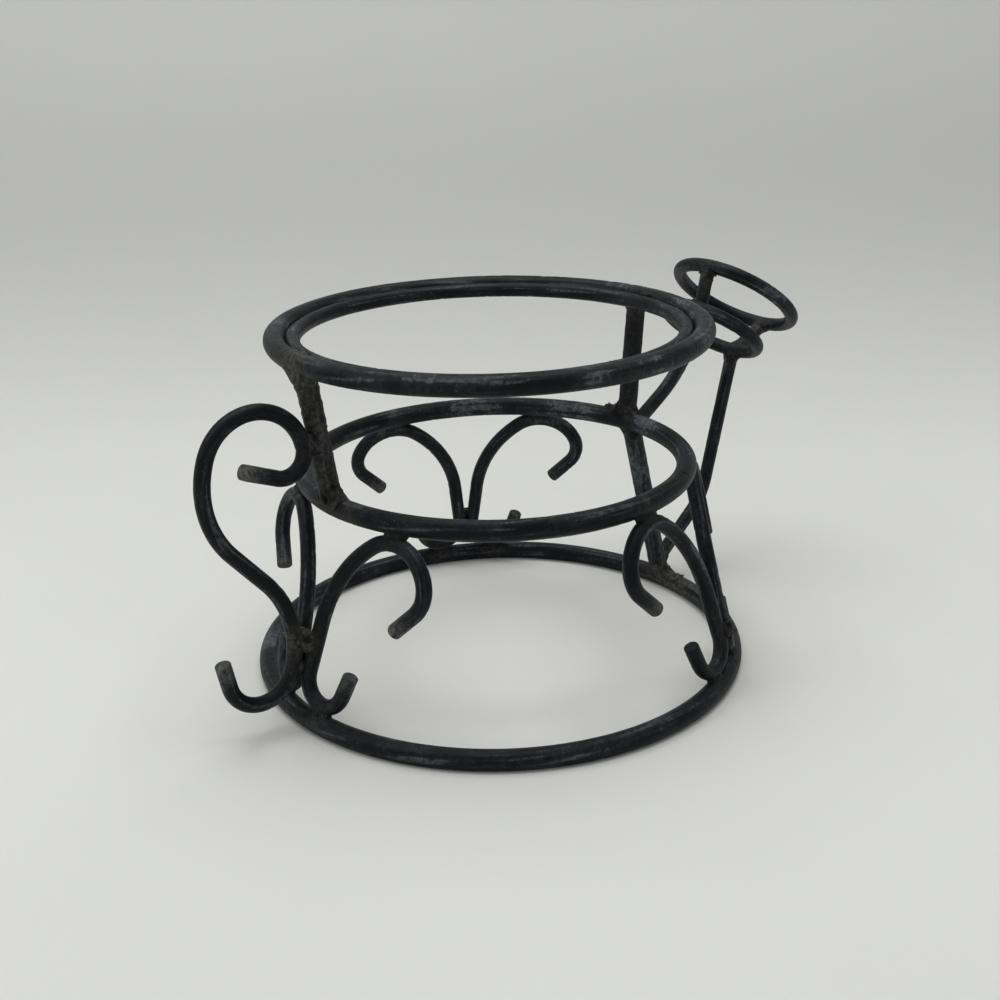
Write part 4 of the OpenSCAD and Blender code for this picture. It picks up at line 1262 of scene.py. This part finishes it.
def paper_sheet():
    """A level floor that bends up into a wall: along the depth y, height 0 up to the bend, then
    r * (1 - cos a) round it, then straight up. It is turned to face the camera.

    Also gives how much painted shade each point takes, more towards the back: a soft step along
    y + z, less where the wall rises.
    """
    a = np.linspace(0, np.pi / 2, BEND_ROWS)
    floor_ys = np.linspace(-DEPTH, FLOOR_END, FLOOR_ROWS)
    ys = np.concatenate([floor_ys, FLOOR_END + BEND * np.sin(a), [FLOOR_END + BEND]])
    zs = np.concatenate([np.zeros(FLOOR_ROWS), BEND * (1 - np.cos(a)), [WALL_TOP]])
    # Painted shade: the paper's colour darkens towards the back, less on the rising wall.
    far = soft_step(ys + zs, -0.05, 0.80) * (1 - 0.45 * soft_step(zs, 0.04, 0.22))
    xs = np.linspace(-HALF_WIDTH, HALF_WIDTH, COLUMNS)
    grid = np.stack(np.broadcast_arrays(xs[None, :], ys[:, None], zs[:, None]), -1)
    grid = grid @ turn_matrix("z", -FACING).T
    i, j = np.arange(len(ys) - 1)[:, None], np.arange(COLUMNS - 1)[None, :]
    k = i * COLUMNS + j
    faces = np.stack([k, k + 1, k + COLUMNS + 1, k + COLUMNS], -1).reshape(-1, 4)
    return grid.reshape(-1, 3), faces, np.repeat(far, COLUMNS)


points, faces, far = paper_sheet()
mesh = bpy.data.meshes.new("paper")
mesh.from_pydata(points.tolist(), [], faces.tolist())
mesh.polygons.foreach_set("use_smooth", np.ones(len(mesh.polygons), bool))
mesh.attributes.new("far", "FLOAT", "POINT").data.foreach_set("value", far.astype(np.float32))
paper = bpy.data.objects.new("paper", mesh)
bpy.context.scene.collection.objects.link(paper)
print("paper faces:", len(faces))

# %% Paper finish
NEAR_DULL, NEAR_BRIGHT = (0.712, 0.717, 0.685), (0.738, 0.743, 0.711)
# This grey is painted shade for the back of the paper.
BACK_SHADE_GREY = (0.452, 0.457, 0.440)
paper_material = bpy.data.materials.new("pale_paper")
paper_material.use_nodes = True
tree = paper_material.node_tree
shader = tree.nodes["Principled BSDF"]
shader.inputs["Roughness"].default_value = 0.9
shader.inputs["Specular IOR Level"].default_value = 0.2
ground = add_node(tree, "ShaderNodeTexCoord").outputs["Object"]
clouds = between(tree, noise(tree, ground, 3.0, 3.0), 0.35, 0.65)
near = tint(tree, NEAR_DULL, NEAR_BRIGHT, clouds)
# The back mark mixes in the painted shade towards the back of the paper.
tree.links.new(tint(tree, near, BACK_SHADE_GREY, mark(tree, "far")), shader.inputs["Base Color"])
fibre = add_node(tree, "ShaderNodeBump", None, {"Strength": 0.04, "Distance": 0.0004})
tree.links.new(noise(tree, ground, 900.0, 2.0), fibre.inputs["Height"])
tree.links.new(fibre.outputs["Normal"], shader.inputs["Normal"])
paper.data.materials.append(paper_material)
print("paper finish set")

# %% [markdown]
# ## Soft light
#
# The photograph has no hard shadow, only a soft dark line under the ring, so the light comes from
# a large lamp above and from the sky all round.

# %% Light
world = bpy.data.worlds.new("sky")
bpy.context.scene.world = world
world.use_nodes = True
sky = world.node_tree.nodes["Background"]
sky.inputs["Color"].default_value = (0.97, 0.985, 1.0, 1.0)
sky.inputs["Strength"].default_value = 0.42


def soft_lamp(name, place, aim, size, power):
    """A square area lamp at place, turned so that it shines at aim."""
    lamp = bpy.data.objects.new(name, bpy.data.lights.new(name, "AREA"))
    lamp.data.size = size
    lamp.data.energy = power
    lamp.location = place
    lamp.rotation_mode = "QUATERNION"
    lamp.rotation_quaternion = (Vector(aim) - Vector(place)).to_track_quat("-Z", "Y")
    bpy.context.scene.collection.objects.link(lamp)
    return lamp


soft_lamp("overhead", (0.15, 0.25, 1.5), (0, 0, 0), 1.4, 18.0)
soft_lamp("window", (-1.2, 0.6, 1.0), (0, 0, 0.05), 1.0, 4.0)
bpy.context.scene.view_settings.view_transform = "Standard"
